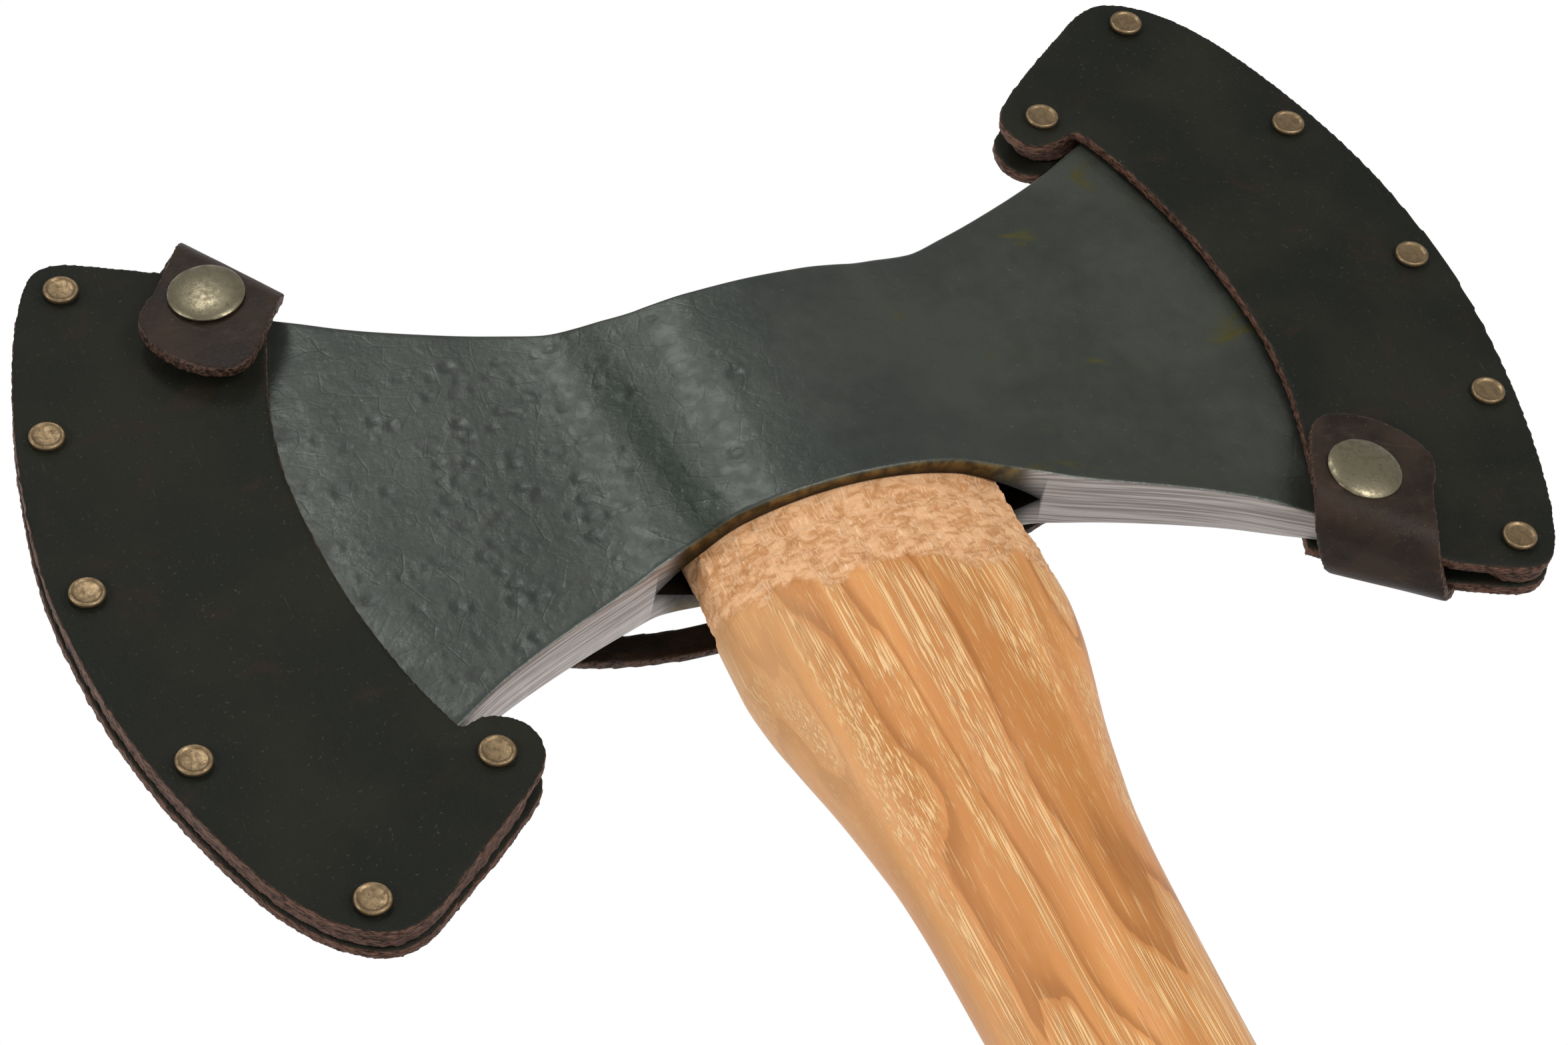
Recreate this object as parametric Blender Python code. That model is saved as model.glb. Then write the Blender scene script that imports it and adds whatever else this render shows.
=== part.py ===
# Double-bit felling axe with a riveted leather cover over each bit.
# Metres, +Z up along the handle, X from bit to bit, -Y the face with the snaps.
import bpy
import bmesh
import math
import numpy as np
from mathutils import Matrix, Vector
from mathutils.geometry import delaunay_2d_cdt

# ---------- driving dimensions ----------
MM = 0.001
HANDLE_LENGTH = 900.0      # butt face to the top of the wood
HEAD_CENTRE = 871.0        # height of the middle of the head above the butt
EDGE_RADIUS = 133.0        # cutting edge, measured from the middle of the head
BIT_CORNER_X = 112.0       # x of the corners of the cutting edge
EYE_HALF_LENGTH = 40.0     # pointed oval eye
EYE_HALF_WIDTH = 13.4
KERF_HALF_LENGTH = 27.0    # saw slot for the wedge
LEATHER = 2.8              # leather thickness
GAP = 0.3                  # clearance where two pieces touch
RIVET_CAP_RADIUS = 3.45
RIVET_SHANK_RADIUS = 1.2
RIVET_HOLE_RADIUS = 1.5
SNAP_CAP_RADIUS = 7.5
TONGUE_HALF_WIDTH = 12.4
FOLD_RADIUS = 6.0          # middle of the leather where the tongue turns
FOLD_CENTRE = 6.9          # distance of the turn from the snap
STRAP_WIDTH = 6.6
STRAP_THICKNESS = 2.4

# half height of the head at a distance from its middle
RIM = [(0, 27), (22, 27.4), (30, 28.8), (38, 30.5), (46, 33.6), (57, 37.8), (66, 41.5),
       (76, 46.2), (84, 50.9), (90, 54.6), (97, 59.8), (104, 65.3), (112, 71.8)]
# half thickness of the head at a distance from its middle
CHEEK = [(0, 16), (12, 15.3), (20, 13.8), (28, 11.4), (34, 9.4), (40, 7.7), (46, 6.8),
         (54, 6.2), (66, 5.8), (78, 5.4), (90, 5.0), (102, 4.2), (114, 3.1), (124, 1.9),
         (130, 0.85), (133, 0.2)]
# half gap between the two leather panels at a distance from the middle of the head
POCKET = [(80, 6.0), (90, 5.55), (98, 4.95), (106, 4.2), (114, 3.45), (120, 2.8),
          (126, 2.15), (130, 1.75), (134, 1.5), (150, 1.5), (170, 1.5)]
# outline of a panel: x, z, and 1 at a sharp corner
PANEL = [(-88.0, 54.8, 1), (-103.4, 69.9, 0), (-107.5, 72.4, 0), (-117.0, 76.8, 0),
         (-123.5, 79.2, 0), (-127.8, 78.0, 0), (-130.8, 74.6, 0), (-135.8, 63.5, 0),
         (-141.0, 46.0, 0), (-145.2, 25.5, 0), (-147.3, 5.0, 0), (-147.3, -8.0, 0),
         (-145.3, -27.0, 0), (-141.3, -45.0, 0), (-136.0, -60.5, 0), (-129.6, -75.5, 0),
         (-122.5, -85.0, 0), (-115.5, -90.2, 0), (-109.5, -91.4, 0), (-103.5, -88.9, 0),
         (-95.5, -82.6, 0), (-78.5, -69.2, 0), (-74.4, -64.5, 0), (-73.8, -58.8, 0),
         (-76.6, -54.1, 0), (-81.2, -52.5, 0), (-87.2, -54.4, 1), (-91.0, -46.0, 0),
         (-94.9, -31.0, 0), (-97.4, -16.0, 0), (-98.6, 0.0, 0), (-98.5, 13.0, 0),
         (-96.6, 26.0, 0), (-93.2, 38.5, 0)]
# outline of the welt between the panels
WELT = [(-117.3, 75.6, 0), (-123.3, 78.6, 0), (-127.3, 77.5, 0), (-130.2, 74.3, 0),
        (-135.3, 63.2, 0), (-140.5, 45.8, 0), (-144.7, 25.3, 0), (-146.8, 5.0, 0),
        (-146.8, -8.0, 0), (-144.8, -26.9, 0), (-140.8, -44.8, 0), (-135.5, -60.3, 0),
        (-129.1, -75.2, 0), (-122.2, -84.6, 0), (-115.3, -89.7, 0), (-109.6, -90.8, 0),
        (-103.8, -88.4, 0), (-95.8, -82.1, 0), (-81.0, -70.2, 0), (-77.8, -65.8, 0),
        (-77.4, -60.6, 0), (-79.6, -57.2, 0), (-84.0, -55.6, 0), (-90.0, -56.6, 0),
        (-97.0, -61.8, 0), (-104.0, -67.3, 0), (-109.8, -72.3, 0), (-112.4, -74.6, 0),
        (-115.0, -73.6, 0), (-117.0, -66.6, 0), (-124.6, -51.0, 0), (-131.0, -31.0, 0),
        (-134.4, -8.0, 0), (-134.3, 10.0, 0), (-131.3, 30.0, 0), (-125.8, 48.0, 0),
        (-118.6, 63.6, 0), (-115.8, 68.9, 0)]
RIVETS = [(-124.1, 71.2), (-137.1, 35.4), (-140.7, -3.3), (-133.8, -45.7), (-113.7, -83.6),
          (-82.7, -60.9)]
SNAP = (-98.3, 53.2)
STRAP_END_X = 97.0
STRAP_RIVET_X = 106.0
HOOK_POCKET = 2.8
# handle sections: height from the head centre, half width, half depth, share of oval
HANDLE = [(-871.0, 23.0, 12.5, 1), (-869.0, 25.2, 14.2, 1), (-865.0, 26.4, 15.2, 1),
          (-850.0, 27.0, 15.6, 1), (-828.0, 25.8, 15.0, 1), (-790.0, 22.0, 13.6, 1),
          (-730.0, 19.7, 12.7, 1), (-640.0, 18.8, 12.2, 1), (-500.0, 18.8, 12.2, 1),
          (-360.0, 19.3, 12.4, 1), (-260.0, 20.3, 12.6, 1), (-190.0, 21.2, 12.9, 1),
          (-157.0, 21.4, 12.9, 1), (-135.0, 21.9, 13.0, 1), (-120.0, 22.4, 13.1, 1),
          (-108.0, 23.3, 13.3, 1), (-97.0, 25.1, 13.6, 1), (-87.0, 27.1, 14.0, 1),
          (-76.0, 29.9, 14.4, 1), (-66.0, 32.2, 14.7, 1), (-57.0, 33.2, 14.8, 1),
          (-47.0, 33.2, 14.6, 0.85), (-40.0, 32.8, 14.1, 0.6), (-35.0, 32.5, 13.5, 0.3),
          (-32.0, 32.2, 13.1, 0), (-10.0, 32.2, 13.1, 0), (10.0, 32.2, 13.1, 0),
          (28.2, 32.2, 13.1, 0), (29.0, 31.4, 12.3, 0)]

for old in list(bpy.data.objects):
    bpy.data.objects.remove(old, do_unlink=True)

scene = bpy.context.scene


# ---------- materials ----------
def material(name, colour, metallic, roughness):
    made = bpy.data.materials.new(name)
    made.use_nodes = True
    shader = made.node_tree.nodes["Principled BSDF"]
    shader.inputs["Base Color"].default_value = (colour[0], colour[1], colour[2], 1.0)
    shader.inputs["Metallic"].default_value = metallic
    shader.inputs["Roughness"].default_value = roughness
    made.diffuse_color = (colour[0], colour[1], colour[2], 1.0)
    return made


STEEL = (0.06, 0.07, 0.07)
WOOD = (0.62, 0.36, 0.17)
WEDGE_WOOD = (0.70, 0.50, 0.28)
DARK_LEATHER = (0.035, 0.033, 0.028)
BROWN_LEATHER = (0.075, 0.042, 0.028)
EDGE_LEATHER = (0.16, 0.075, 0.05)
BRASS = (0.42, 0.33, 0.18)


# ---------- helpers ----------
def curve(table, at):
    """Smooth value through a table of (position, value), held flat beyond its ends."""
    xs = [row[0] for row in table]
    ys = [row[1] for row in table]
    if at <= xs[0]:
        return ys[0]
    if at >= xs[-1]:
        return ys[-1]
    k = 0
    while at > xs[k + 1]:
        k += 1
    slopes = []
    for j in (k, k + 1):
        if j == 0 or j == len(xs) - 1:
            near = min(max(j, 1), len(xs) - 1)
            slopes.append((ys[near] - ys[near - 1]) / (xs[near] - xs[near - 1]))
        else:
            before = (ys[j] - ys[j - 1]) / (xs[j] - xs[j - 1])
            after = (ys[j + 1] - ys[j]) / (xs[j + 1] - xs[j])
            if before * after <= 0:
                slopes.append(0.0)
            else:
                slopes.append(2 * before * after / (before + after))
    if xs[0] == 0 and k == 0:
        slopes[0] = 0.0
    width = xs[k + 1] - xs[k]
    t = (at - xs[k]) / width
    a = 2 * t ** 3 - 3 * t ** 2 + 1
    b = t ** 3 - 2 * t ** 2 + t
    c = -2 * t ** 3 + 3 * t ** 2
    d = t ** 3 - t ** 2
    return a * ys[k] + b * width * slopes[0] + c * ys[k + 1] + d * width * slopes[1]


def smooth_step(low, high, value):
    t = min(max((value - low) / (high - low), 0.0), 1.0)
    return t * t * (3 - 2 * t)


def rim(x):
    return curve(RIM, abs(x))


def pocket(x, z):
    """Half gap between the panels, narrowed below the lower rim where the hook is riveted."""
    radius = math.hypot(x, z)
    gap = curve(POCKET, radius)
    below = (-z - rim(x)) * 0.81
    if z < 0 and x > -BIT_CORNER_X - 4:
        share = smooth_step(0.0, 5.0, below)
        gap = gap + (min(gap, HOOK_POCKET) - gap) * share
    return gap


def welt_level(x, z):
    return min(pocket(x, z) - 0.25, HOOK_POCKET - 0.35)


def make(name, points, faces, paint, matrix, origin=(0.0, 0.0, 0.0)):
    """One object from points in millimetres; matrix places them, origin is in millimetres too."""
    start = Vector(origin)
    mesh = bpy.data.meshes.new(name)
    placed = [(matrix @ Vector(p) - start) * MM for p in points]
    mesh.from_pydata([tuple(p) for p in placed], [], faces)
    mesh.update()
    work = bmesh.new()
    work.from_mesh(mesh)
    bmesh.ops.remove_doubles(work, verts=work.verts, dist=0.000001)
    bmesh.ops.recalc_face_normals(work, faces=work.faces)
    if work.calc_volume(signed=True) < 0:
        bmesh.ops.reverse_faces(work, faces=work.faces)
    work.to_mesh(mesh)
    work.free()
    made = bpy.data.objects.new(name, mesh)
    made.location = start * MM
    scene.collection.objects.link(made)
    if paint is not None:
        mesh.materials.append(material(name, paint[0], paint[1], paint[2]))
    return made


def cut(target, cutter, operation="DIFFERENCE"):
    cutter.hide_render = True
    cutter.display_type = "WIRE"
    step = target.modifiers.new("cut", "BOOLEAN")
    step.operation = operation
    step.solver = "EXACT"
    step.object = cutter


def tube_faces(rings, count, closed_ends=True):
    faces = []
    for i in range(rings - 1):
        for j in range(count):
            k = (j + 1) % count
            faces.append((i * count + j, i * count + k, (i + 1) * count + k, (i + 1) * count + j))
    if closed_ends:
        faces.append(tuple(range(count)))
        faces.append(tuple((rings - 1) * count + j for j in range(count)))
    return faces


def turned(profile, count):
    """Points and faces of a closed profile of (radius, n) turned about the local n axis."""
    points = []
    rows = []
    for radius, n in profile:
        if radius < 0.0001:
            rows.append([len(points)] * count)
            points.append((0.0, n, 0.0))
        else:
            rows.append(list(range(len(points), len(points) + count)))
            for j in range(count):
                angle = 2 * math.pi * j / count
                points.append((radius * math.cos(angle), n, radius * math.sin(angle)))
    faces = []
    for i in range(len(rows)):
        a = rows[i]
        b = rows[(i + 1) % len(rows)]
        if a[0] == a[1] and b[0] == b[1]:
            continue
        for j in range(count):
            k = (j + 1) % count
            face = []
            for index in (a[j], a[k], b[k], b[j]):
                if index not in face:
                    face.append(index)
            if len(face) > 2:
                faces.append(tuple(face))
    return points, faces


def rounded(outline):
    """The outline with every unmarked corner cut once, which rounds it."""
    found = []
    count = len(outline)
    for i in range(count):
        x, z, sharp = outline[i]
        if sharp:
            found.append((x, z))
            continue
        for other, share in ((outline[i - 1], 0.25), (outline[(i + 1) % count], 0.25)):
            found.append((x + (other[0] - x) * share, z + (other[1] - z) * share))
    return found


def inside(point, loop):
    x, z = point
    hit = False
    for i in range(len(loop)):
        x1, z1 = loop[i - 1]
        x2, z2 = loop[i]
        if (z1 > z) != (z2 > z) and x < (x2 - x1) * (z - z1) / (z2 - z1) + x1:
            hit = not hit
    return hit


def distance(point, loop):
    best = 1e9
    for i in range(len(loop)):
        a = np.array(loop[i - 1])
        b = np.array(loop[i])
        p = np.array(point)
        along = b - a
        t = min(max(float((p - a) @ along / (along @ along)), 0.0), 1.0)
        best = min(best, float(np.linalg.norm(a + t * along - p)))
    return best


def circle(centre, radius, count=14):
    found = []
    for j in range(count):
        angle = 2 * math.pi * j / count
        found.append((centre[0] + radius * math.cos(angle), centre[1] + radius * math.sin(angle)))
    return found


def sheet(outline, holes, spacing, low, high):
    """A closed plate over the outline; low and high give the y of its two faces at x, z."""
    spots = list(outline)
    edges = [(i, (i + 1) % len(outline)) for i in range(len(outline))]
    for hole in holes:
        start = len(spots)
        spots += hole
        edges += [(start + i, start + (i + 1) % len(hole)) for i in range(len(hole))]
    for hole in holes:
        middle = (sum(p[0] for p in hole) / len(hole), sum(p[1] for p in hole) / len(hole))
        for spot in circle(middle, 4.4, 10):
            if inside(spot, outline) and distance(spot, outline) > 0.8:
                spots.append(spot)
    xs = [p[0] for p in outline]
    zs = [p[1] for p in outline]
    row = 0
    z = min(zs)
    while z < max(zs):
        x = min(xs) + (row % 2) * spacing / 2
        while x < max(xs):
            here = (x, z)
            clear = inside(here, outline) and distance(here, outline) > spacing * 0.4
            for hole in holes:
                if clear and (inside(here, hole) or distance(here, hole) < 5.5):
                    clear = False
            if clear:
                spots.append(here)
            x += spacing
        z += spacing * 0.87
        row += 1
    result = delaunay_2d_cdt([Vector(p) for p in spots], edges, [], 0, 1e-7)
    flat = [(v.x, v.y) for v in result[0]]
    faces = []
    for face in result[2]:
        middle = (sum(flat[i][0] for i in face) / len(face), sum(flat[i][1] for i in face) / len(face))
        if not inside(middle, outline):
            continue
        if any(inside(middle, hole) for hole in holes):
            continue
        faces.append(tuple(face))
    used = sorted({i for face in faces for i in face})
    index = {old: new for new, old in enumerate(used)}
    count = len(used)
    points = [(flat[i][0], low(*flat[i]), flat[i][1]) for i in used]
    points += [(flat[i][0], high(*flat[i]), flat[i][1]) for i in used]
    solid = []
    seen = {}
    for face in faces:
        a = [index[i] for i in face]
        solid.append(tuple(a))
        solid.append(tuple(i + count for i in reversed(a)))
        for i in range(len(a)):
            pair = (a[i], a[(i + 1) % len(a)])
            seen[pair] = True
    for one, two in list(seen):
        if (two, one) not in seen:
            solid.append((two, one, one + count, two + count))
    return points, solid


# ---------- head ----------
def head_points(columns, rows):
    front = []
    for i in range(columns + 1):
        s = -1 + 2 * i / columns
        share = smooth_step(0.35, 1.0, abs(s))
        middle = EDGE_RADIUS * s
        edge = middle - math.copysign((EDGE_RADIUS - BIT_CORNER_X) * share, s)
        half = curve(CHEEK, abs(middle))
        for j in range(rows + 1):
            v = -1 + 2 * j / rows
            x = edge + (middle - edge) * (1 - v * v)
            front.append((x, -half, v * rim(edge)))
    return front


AXE = Matrix.Translation((0.0, 0.0, HEAD_CENTRE))
columns = 44
rows = 10
front = head_points(columns, rows)
back = [(x, -y, z) for x, y, z in front]
total = len(front)
faces = []
for i in range(columns):
    for j in range(rows):
        a = i * (rows + 1) + j
        b = a + rows + 1
        faces.append((a, b, b + 1, a + 1))
        faces.append((total + a, total + a + 1, total + b + 1, total + b))
    low = i * (rows + 1)
    high = low + rows
    faces.append((low, total + low, total + low + rows + 1, low + rows + 1))
    faces.append((high, high + rows + 1, total + high + rows + 1, total + high))
for j in range(rows):
    a = j
    b = columns * (rows + 1) + j
    faces.append((a, a + 1, total + a + 1, total + a))
    faces.append((b, total + b, total + b + 1, b + 1))
head = make("axe_head", front + back, faces, (STEEL, 0.8, 0.45), AXE)


def lens(x, half_length, half_width):
    radius = (half_length ** 2 + half_width ** 2) / (2 * half_width)
    return max(math.sqrt(max(radius ** 2 - x ** 2, 0.0)) - (radius - half_width), 0.0)


eye = []
side = 24
for z in (-60.0, 60.0):
    for j in range(side):
        x = -EYE_HALF_LENGTH + 2 * EYE_HALF_LENGTH * j / side
        eye.append((x, -lens(x, EYE_HALF_LENGTH, EYE_HALF_WIDTH), z))
    for j in range(side):
        x = EYE_HALF_LENGTH - 2 * EYE_HALF_LENGTH * j / side
        eye.append((x, lens(x, EYE_HALF_LENGTH, EYE_HALF_WIDTH), z))
eye_cutter = make("cutter_eye", eye, tube_faces(2, 2 * side), None, AXE)
cut(head, eye_cutter)

# ---------- handle ----------
around = 36
wood = []
for height, half_width, half_depth, oval in HANDLE:
    for j in range(around):
        angle = 2 * math.pi * j / around
        c = math.cos(angle)
        s = math.sin(angle)
        ox = half_width * math.copysign(abs(c) ** 0.87, c)
        oy = half_depth * math.copysign(abs(s) ** 0.87, s)
        lx = half_width * math.copysign(abs(c) ** 0.8, c)
        ly = lens(lx, EYE_HALF_LENGTH - GAP, half_depth) * min(abs(s) / 0.3, 1.0)
        ly = math.copysign(ly, s)
        wood.append((lx + (ox - lx) * oval, ly + (oy - ly) * oval, height))
handle = make("handle", wood, tube_faces(len(HANDLE), around), (WOOD, 0.0, 0.5), AXE)


def wedge_points(half_length, top, bottom, high, low):
    return [(-half_length, -bottom, low), (half_length, -bottom, low), (half_length, bottom, low),
            (-half_length, bottom, low), (-half_length, -top, high), (half_length, -top, high),
            (half_length, top, high), (-half_length, top, high)]


kerf_cutter = make("cutter_kerf", wedge_points(KERF_HALF_LENGTH, 2.8, 0.8, 33.0, -16.0),
                   tube_faces(2, 4), None, AXE)
cut(handle, kerf_cutter)
make("eye_wedge", wedge_points(KERF_HALF_LENGTH - GAP, 2.35, 0.55, 29.4, -14.5),
     tube_faces(2, 4), (WEDGE_WOOD, 0.0, 0.6), AXE)

# ---------- leather covers ----------
SNAP_RADIUS = math.hypot(*SNAP)
SNAP_TILT = math.atan((curve(POCKET, SNAP_RADIUS - 6) - curve(POCKET, SNAP_RADIUS + 6)) / 12)
SNAP_FACE = curve(POCKET, SNAP_RADIUS) + LEATHER
OUTWARD = Vector((SNAP[0] / SNAP_RADIUS, 0.0, SNAP[1] / SNAP_RADIUS))
FACE_NORMAL = Vector((OUTWARD.x * math.sin(SNAP_TILT), -math.cos(SNAP_TILT),
                      OUTWARD.z * math.sin(SNAP_TILT)))
# fold direction of the tongue and the direction across it, in the plane of the bit
FOLD = Vector((0.709, 0.0, -0.705)).normalized()
ACROSS = Vector((0.705, 0.0, 0.709)).normalized()
SHEAR = -0.24


def snap_matrix():
    """Local +Y points out of the front panel at the snap."""
    along = FACE_NORMAL.cross(Vector((0.0, 0.0, 1.0))).normalized()
    up = along.cross(FACE_NORMAL).normalized()
    turn = Matrix((along, FACE_NORMAL, up)).transposed().to_4x4()
    return Matrix.Translation((SNAP[0], -SNAP_FACE, SNAP[1])) @ turn


FRONT_LEVEL = SNAP_FACE + 3.55 + LEATHER / 2
BACK_LEVEL = 3.85 + LEATHER / 2


def slope_along(w, g):
    """Extra height of the leather away from the snap, from the wedge shape of the bit."""
    step = FOLD * w + ACROSS * g
    return -math.tan(SNAP_TILT) * step.dot(OUTWARD)


def tongue_path():
    """(across, level, across part of the normal, level part) along the middle of the leather."""
    found = []
    root = math.asin((9.1 - FOLD_CENTRE) / FOLD_RADIUS)
    steps = 7
    for i in range(steps + 1):
        a = root + (math.pi / 2 - root) * i / steps
        found.append((FOLD_CENTRE + FOLD_RADIUS * math.sin(a),
                      BACK_LEVEL - FOLD_RADIUS + FOLD_RADIUS * math.cos(a), math.sin(a), math.cos(a)))
    for i in range(steps + 1):
        a = math.pi / 2 + math.pi / 2 * i / steps
        found.append((FOLD_CENTRE + FOLD_RADIUS * math.sin(a),
                      -FRONT_LEVEL + FOLD_RADIUS + FOLD_RADIUS * math.cos(a), math.sin(a), math.cos(a)))
    for g in (4.0, 0.0, -4.0, -7.0, -10.0, -12.5, -14.5, -16.0, -17.1, -17.6):
        found.append((g, -FRONT_LEVEL, 0.0, -1.0))
    return found


def tongue_half_width(g, level):
    if level > -FRONT_LEVEL + 0.01 or g > -4.6:
        back = smooth_step(-FRONT_LEVEL, BACK_LEVEL, level)
        return TONGUE_HALF_WIDTH / 0.972 - 1.6 * back
    run = min((-4.6 - g) / 13.05, 1.0)
    return TONGUE_HALF_WIDTH / 0.972 * math.sqrt(max(1 - run ** 2.2, 0.0)) + 0.02


def tongue_shape():
    points = []
    across = 6
    path = tongue_path()
    lengths = [0.0]
    for one, two in zip(path, path[1:]):
        lengths.append(lengths[-1] + math.hypot(two[0] - one[0], two[1] - one[1]))
    at_snap = lengths[[round(step[0], 3) for step in path].index(0.0)]
    for (g, level, ng, ny), length in zip(path, lengths):
        half = tongue_half_width(g, level)
        for layer in (-1, 1):
            for j in range(across + 1):
                w = half * (-1 + 2 * j / across)
                front = (BACK_LEVEL - level) / (BACK_LEVEL + FRONT_LEVEL)
                lift = slope_along(w, min(g, 6.0)) * (1 - 2 * front)
                gg = g + ng * layer * LEATHER / 2
                yy = level + lift + ny * layer * LEATHER / 2
                shift = SHEAR * (at_snap - length)
                spot = Vector((SNAP[0], 0.0, SNAP[1])) + FOLD * (w + shift) + ACROSS * gg
                points.append((spot.x, yy, spot.z))
    width = across + 1
    block = 2 * width
    faces = []
    last = len(path) - 1
    for i in range(last):
        a = i * block
        b = a + block
        for j in range(across):
            faces.append((a + j, a + j + 1, b + j + 1, b + j))
            faces.append((a + width + j, b + width + j, b + width + j + 1, a + width + j + 1))
        faces.append((a, b, b + width, a + width))
        faces.append((a + across, a + width + across, b + width + across, b + across))
    for a in (0, last * block):
        for j in range(across):
            faces.append((a + j, a + width + j, a + width + j + 1, a + j + 1))
    return points, faces


HINGE_ACROSS = FOLD_CENTRE + FOLD_RADIUS * 0.707
HINGE_LEVEL = -FRONT_LEVEL + FOLD_RADIUS - FOLD_RADIUS * 0.707
HINGE_POINT = Vector((SNAP[0], HINGE_LEVEL, SNAP[1])) + ACROSS * HINGE_ACROSS
POST_HOLE = 1.9


def rivet_profile(front, back):
    """Closed profile in local n, with a rimmed cap at each end."""
    r = RIVET_CAP_RADIUS
    return [(0.0, front + 0.75), (2.5, front + 0.78), (2.9, front + 0.95), (3.2, front + 0.95),
            (r, front + 0.7), (r - 0.1, front), (RIVET_SHANK_RADIUS, front),
            (RIVET_SHANK_RADIUS, back), (r - 0.1, back), (r, back - 0.7), (3.2, back - 0.95),
            (0.0, back - 0.95)]


def cover(side, turn):
    place = AXE @ turn
    outline = rounded(PANEL)
    outline = rounded([(x, z, 1 if (round(x, 1), round(z, 1)) in ((-88.0, 54.8), (-87.2, -54.4)) else 0)
                       for x, z in outline])
    holes = [circle(spot, RIVET_HOLE_RADIUS) for spot in RIVETS]
    base = place @ Vector((-120.0, 0.0, 0.0))
    leather = (DARK_LEATHER, 0.0, 0.65)
    points, faces = sheet(outline, holes + [circle(SNAP, POST_HOLE)], 8.0,
                          lambda x, z: -pocket(x, z) - LEATHER, lambda x, z: -pocket(x, z))
    front_panel = make(side + "_front_panel", points, faces, leather, place, base)
    tab = (-STRAP_RIVET_X, strap_height(STRAP_RIVET_X))
    points, faces = sheet(outline, holes + [circle(tab, RIVET_HOLE_RADIUS)], 8.0,
                          lambda x, z: pocket(x, z), lambda x, z: pocket(x, z) + LEATHER)
    back_panel = make(side + "_back_panel", points, faces, leather, place, base)
    points, faces = sheet(rounded(WELT), holes, 7.0,
                          lambda x, z: -welt_level(x, z), lambda x, z: welt_level(x, z))
    make(side + "_welt", points, faces, (EDGE_LEATHER, 0.0, 0.85), place, base)
    for number, (x, z) in enumerate(RIVETS):
        level = pocket(x, z) + LEATHER + 0.2
        points, faces = turned(rivet_profile(level, -level), 16)
        at = place @ Matrix.Translation((x, 0.0, z))
        # the local n axis runs out of the front face
        at = at @ Matrix.Rotation(math.pi, 4, "Z")
        make("%s_rivet_%d" % (side, number + 1), points, faces, (BRASS, 0.9, 0.35), at, base)
    # snap fastener
    snap = place @ snap_matrix()
    recess, faces = turned([(0.0, -LEATHER - 2.0), (4.6, -LEATHER - 2.0), (4.6, -LEATHER + 0.95),
                            (0.0, -LEATHER + 0.95)], 18)
    cut(front_panel, make("cutter_" + side + "_snap", recess, faces, None, snap))
    points, faces = turned([(0.0, -LEATHER + 0.15), (4.25, -LEATHER + 0.15), (4.25, -LEATHER + 0.7),
                            (1.6, -LEATHER + 0.7), (1.6, 2.1), (0.0, 2.1)], 18)
    make(side + "_snap_post", points, faces, (BRASS, 0.9, 0.4), snap, base)
    points, faces = turned([(1.85, 0.25), (5.5, 0.25), (5.5, 0.75), (2.9, 0.85), (2.8, 1.2),
                            (3.35, 1.8), (3.2, 2.4), (2.6, 2.6), (1.85, 2.6)], 20)
    make(side + "_snap_stud", points, faces, (BRASS, 0.9, 0.4), snap, base)
    pivot = place @ HINGE_POINT
    points, faces = turned([(1.9, 2.85), (3.7, 2.8), (3.7, 1.2), (3.95, 1.0), (5.5, 1.0),
                            (5.8, 1.3), (5.8, 2.9), (5.4, 3.25), (1.9, 3.25)], 20)
    make(side + "_snap_socket", points, faces, (BRASS, 0.9, 0.4), snap, pivot)
    top = 3.55 + LEATHER
    points, faces = turned([(0.0, top + 1.75), (2.6, top + 1.68), (5.0, top + 1.35),
                            (6.8, top + 0.85), (SNAP_CAP_RADIUS, top + 0.45), (7.4, top + 0.25),
                            (1.6, top + 0.25), (1.6, 2.95), (0.0, 2.95)], 28)
    make(side + "_snap_cap", points, faces, (BRASS, 0.9, 0.3), snap, pivot)
    points, faces = tongue_shape()
    tongue = make(side + "_tongue", points, faces, (BROWN_LEATHER, 0.0, 0.55), place, pivot)
    bore, faces = turned([(0.0, 3.0), (POST_HOLE, 3.0), (POST_HOLE, 7.5), (0.0, 7.5)], 14)
    cut(tongue, make("cutter_" + side + "_tongue", bore, faces, None, snap))
    # strap rivet with its inner head sunk into the back panel
    x, z = tab
    inner = pocket(x, z)
    at = place @ Matrix.Translation((x, 0.0, z))
    recess, faces = turned([(0.0, inner - 2.0), (4.0, inner - 2.0), (4.0, inner + 1.15),
                            (0.0, inner + 1.15)], 16)
    cut(back_panel, make("cutter_" + side + "_strap", recess, faces, None, at))
    level = strap_level(x) + STRAP_THICKNESS / 2 + 0.45
    points, faces = turned([(0.0, inner + 0.25), (3.6, inner + 0.25), (3.6, inner + 0.85),
                            (RIVET_SHANK_RADIUS, inner + 0.85), (RIVET_SHANK_RADIUS, level),
                            (3.35, level), (3.45, level + 0.7), (3.2, level + 0.95),
                            (2.9, level + 0.95), (2.5, level + 0.78), (0.0, level + 0.75)], 16)
    make(side + "_strap_rivet", points, faces, (BRASS, 0.9, 0.35), at, base)


# ---------- connecting strap behind the head ----------
def strap_height(x):
    share = x / STRAP_RIVET_X
    return (-25.0 + 9.0 * share) * (1 - share ** 2)


def strap_level(x):
    share = min(abs(x) / STRAP_END_X, 1.0)
    level = curve(POCKET, STRAP_END_X) + LEATHER + GAP + 0.1 + STRAP_THICKNESS / 2
    if abs(x) > STRAP_END_X:
        return level - 0.094 * (abs(x) - STRAP_END_X)
    return level + 16.3 * (1 - share ** 4) ** 2


cover("left", Matrix.Identity(4))
cover("right", Matrix.Rotation(math.pi, 4, "Y"))

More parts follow.
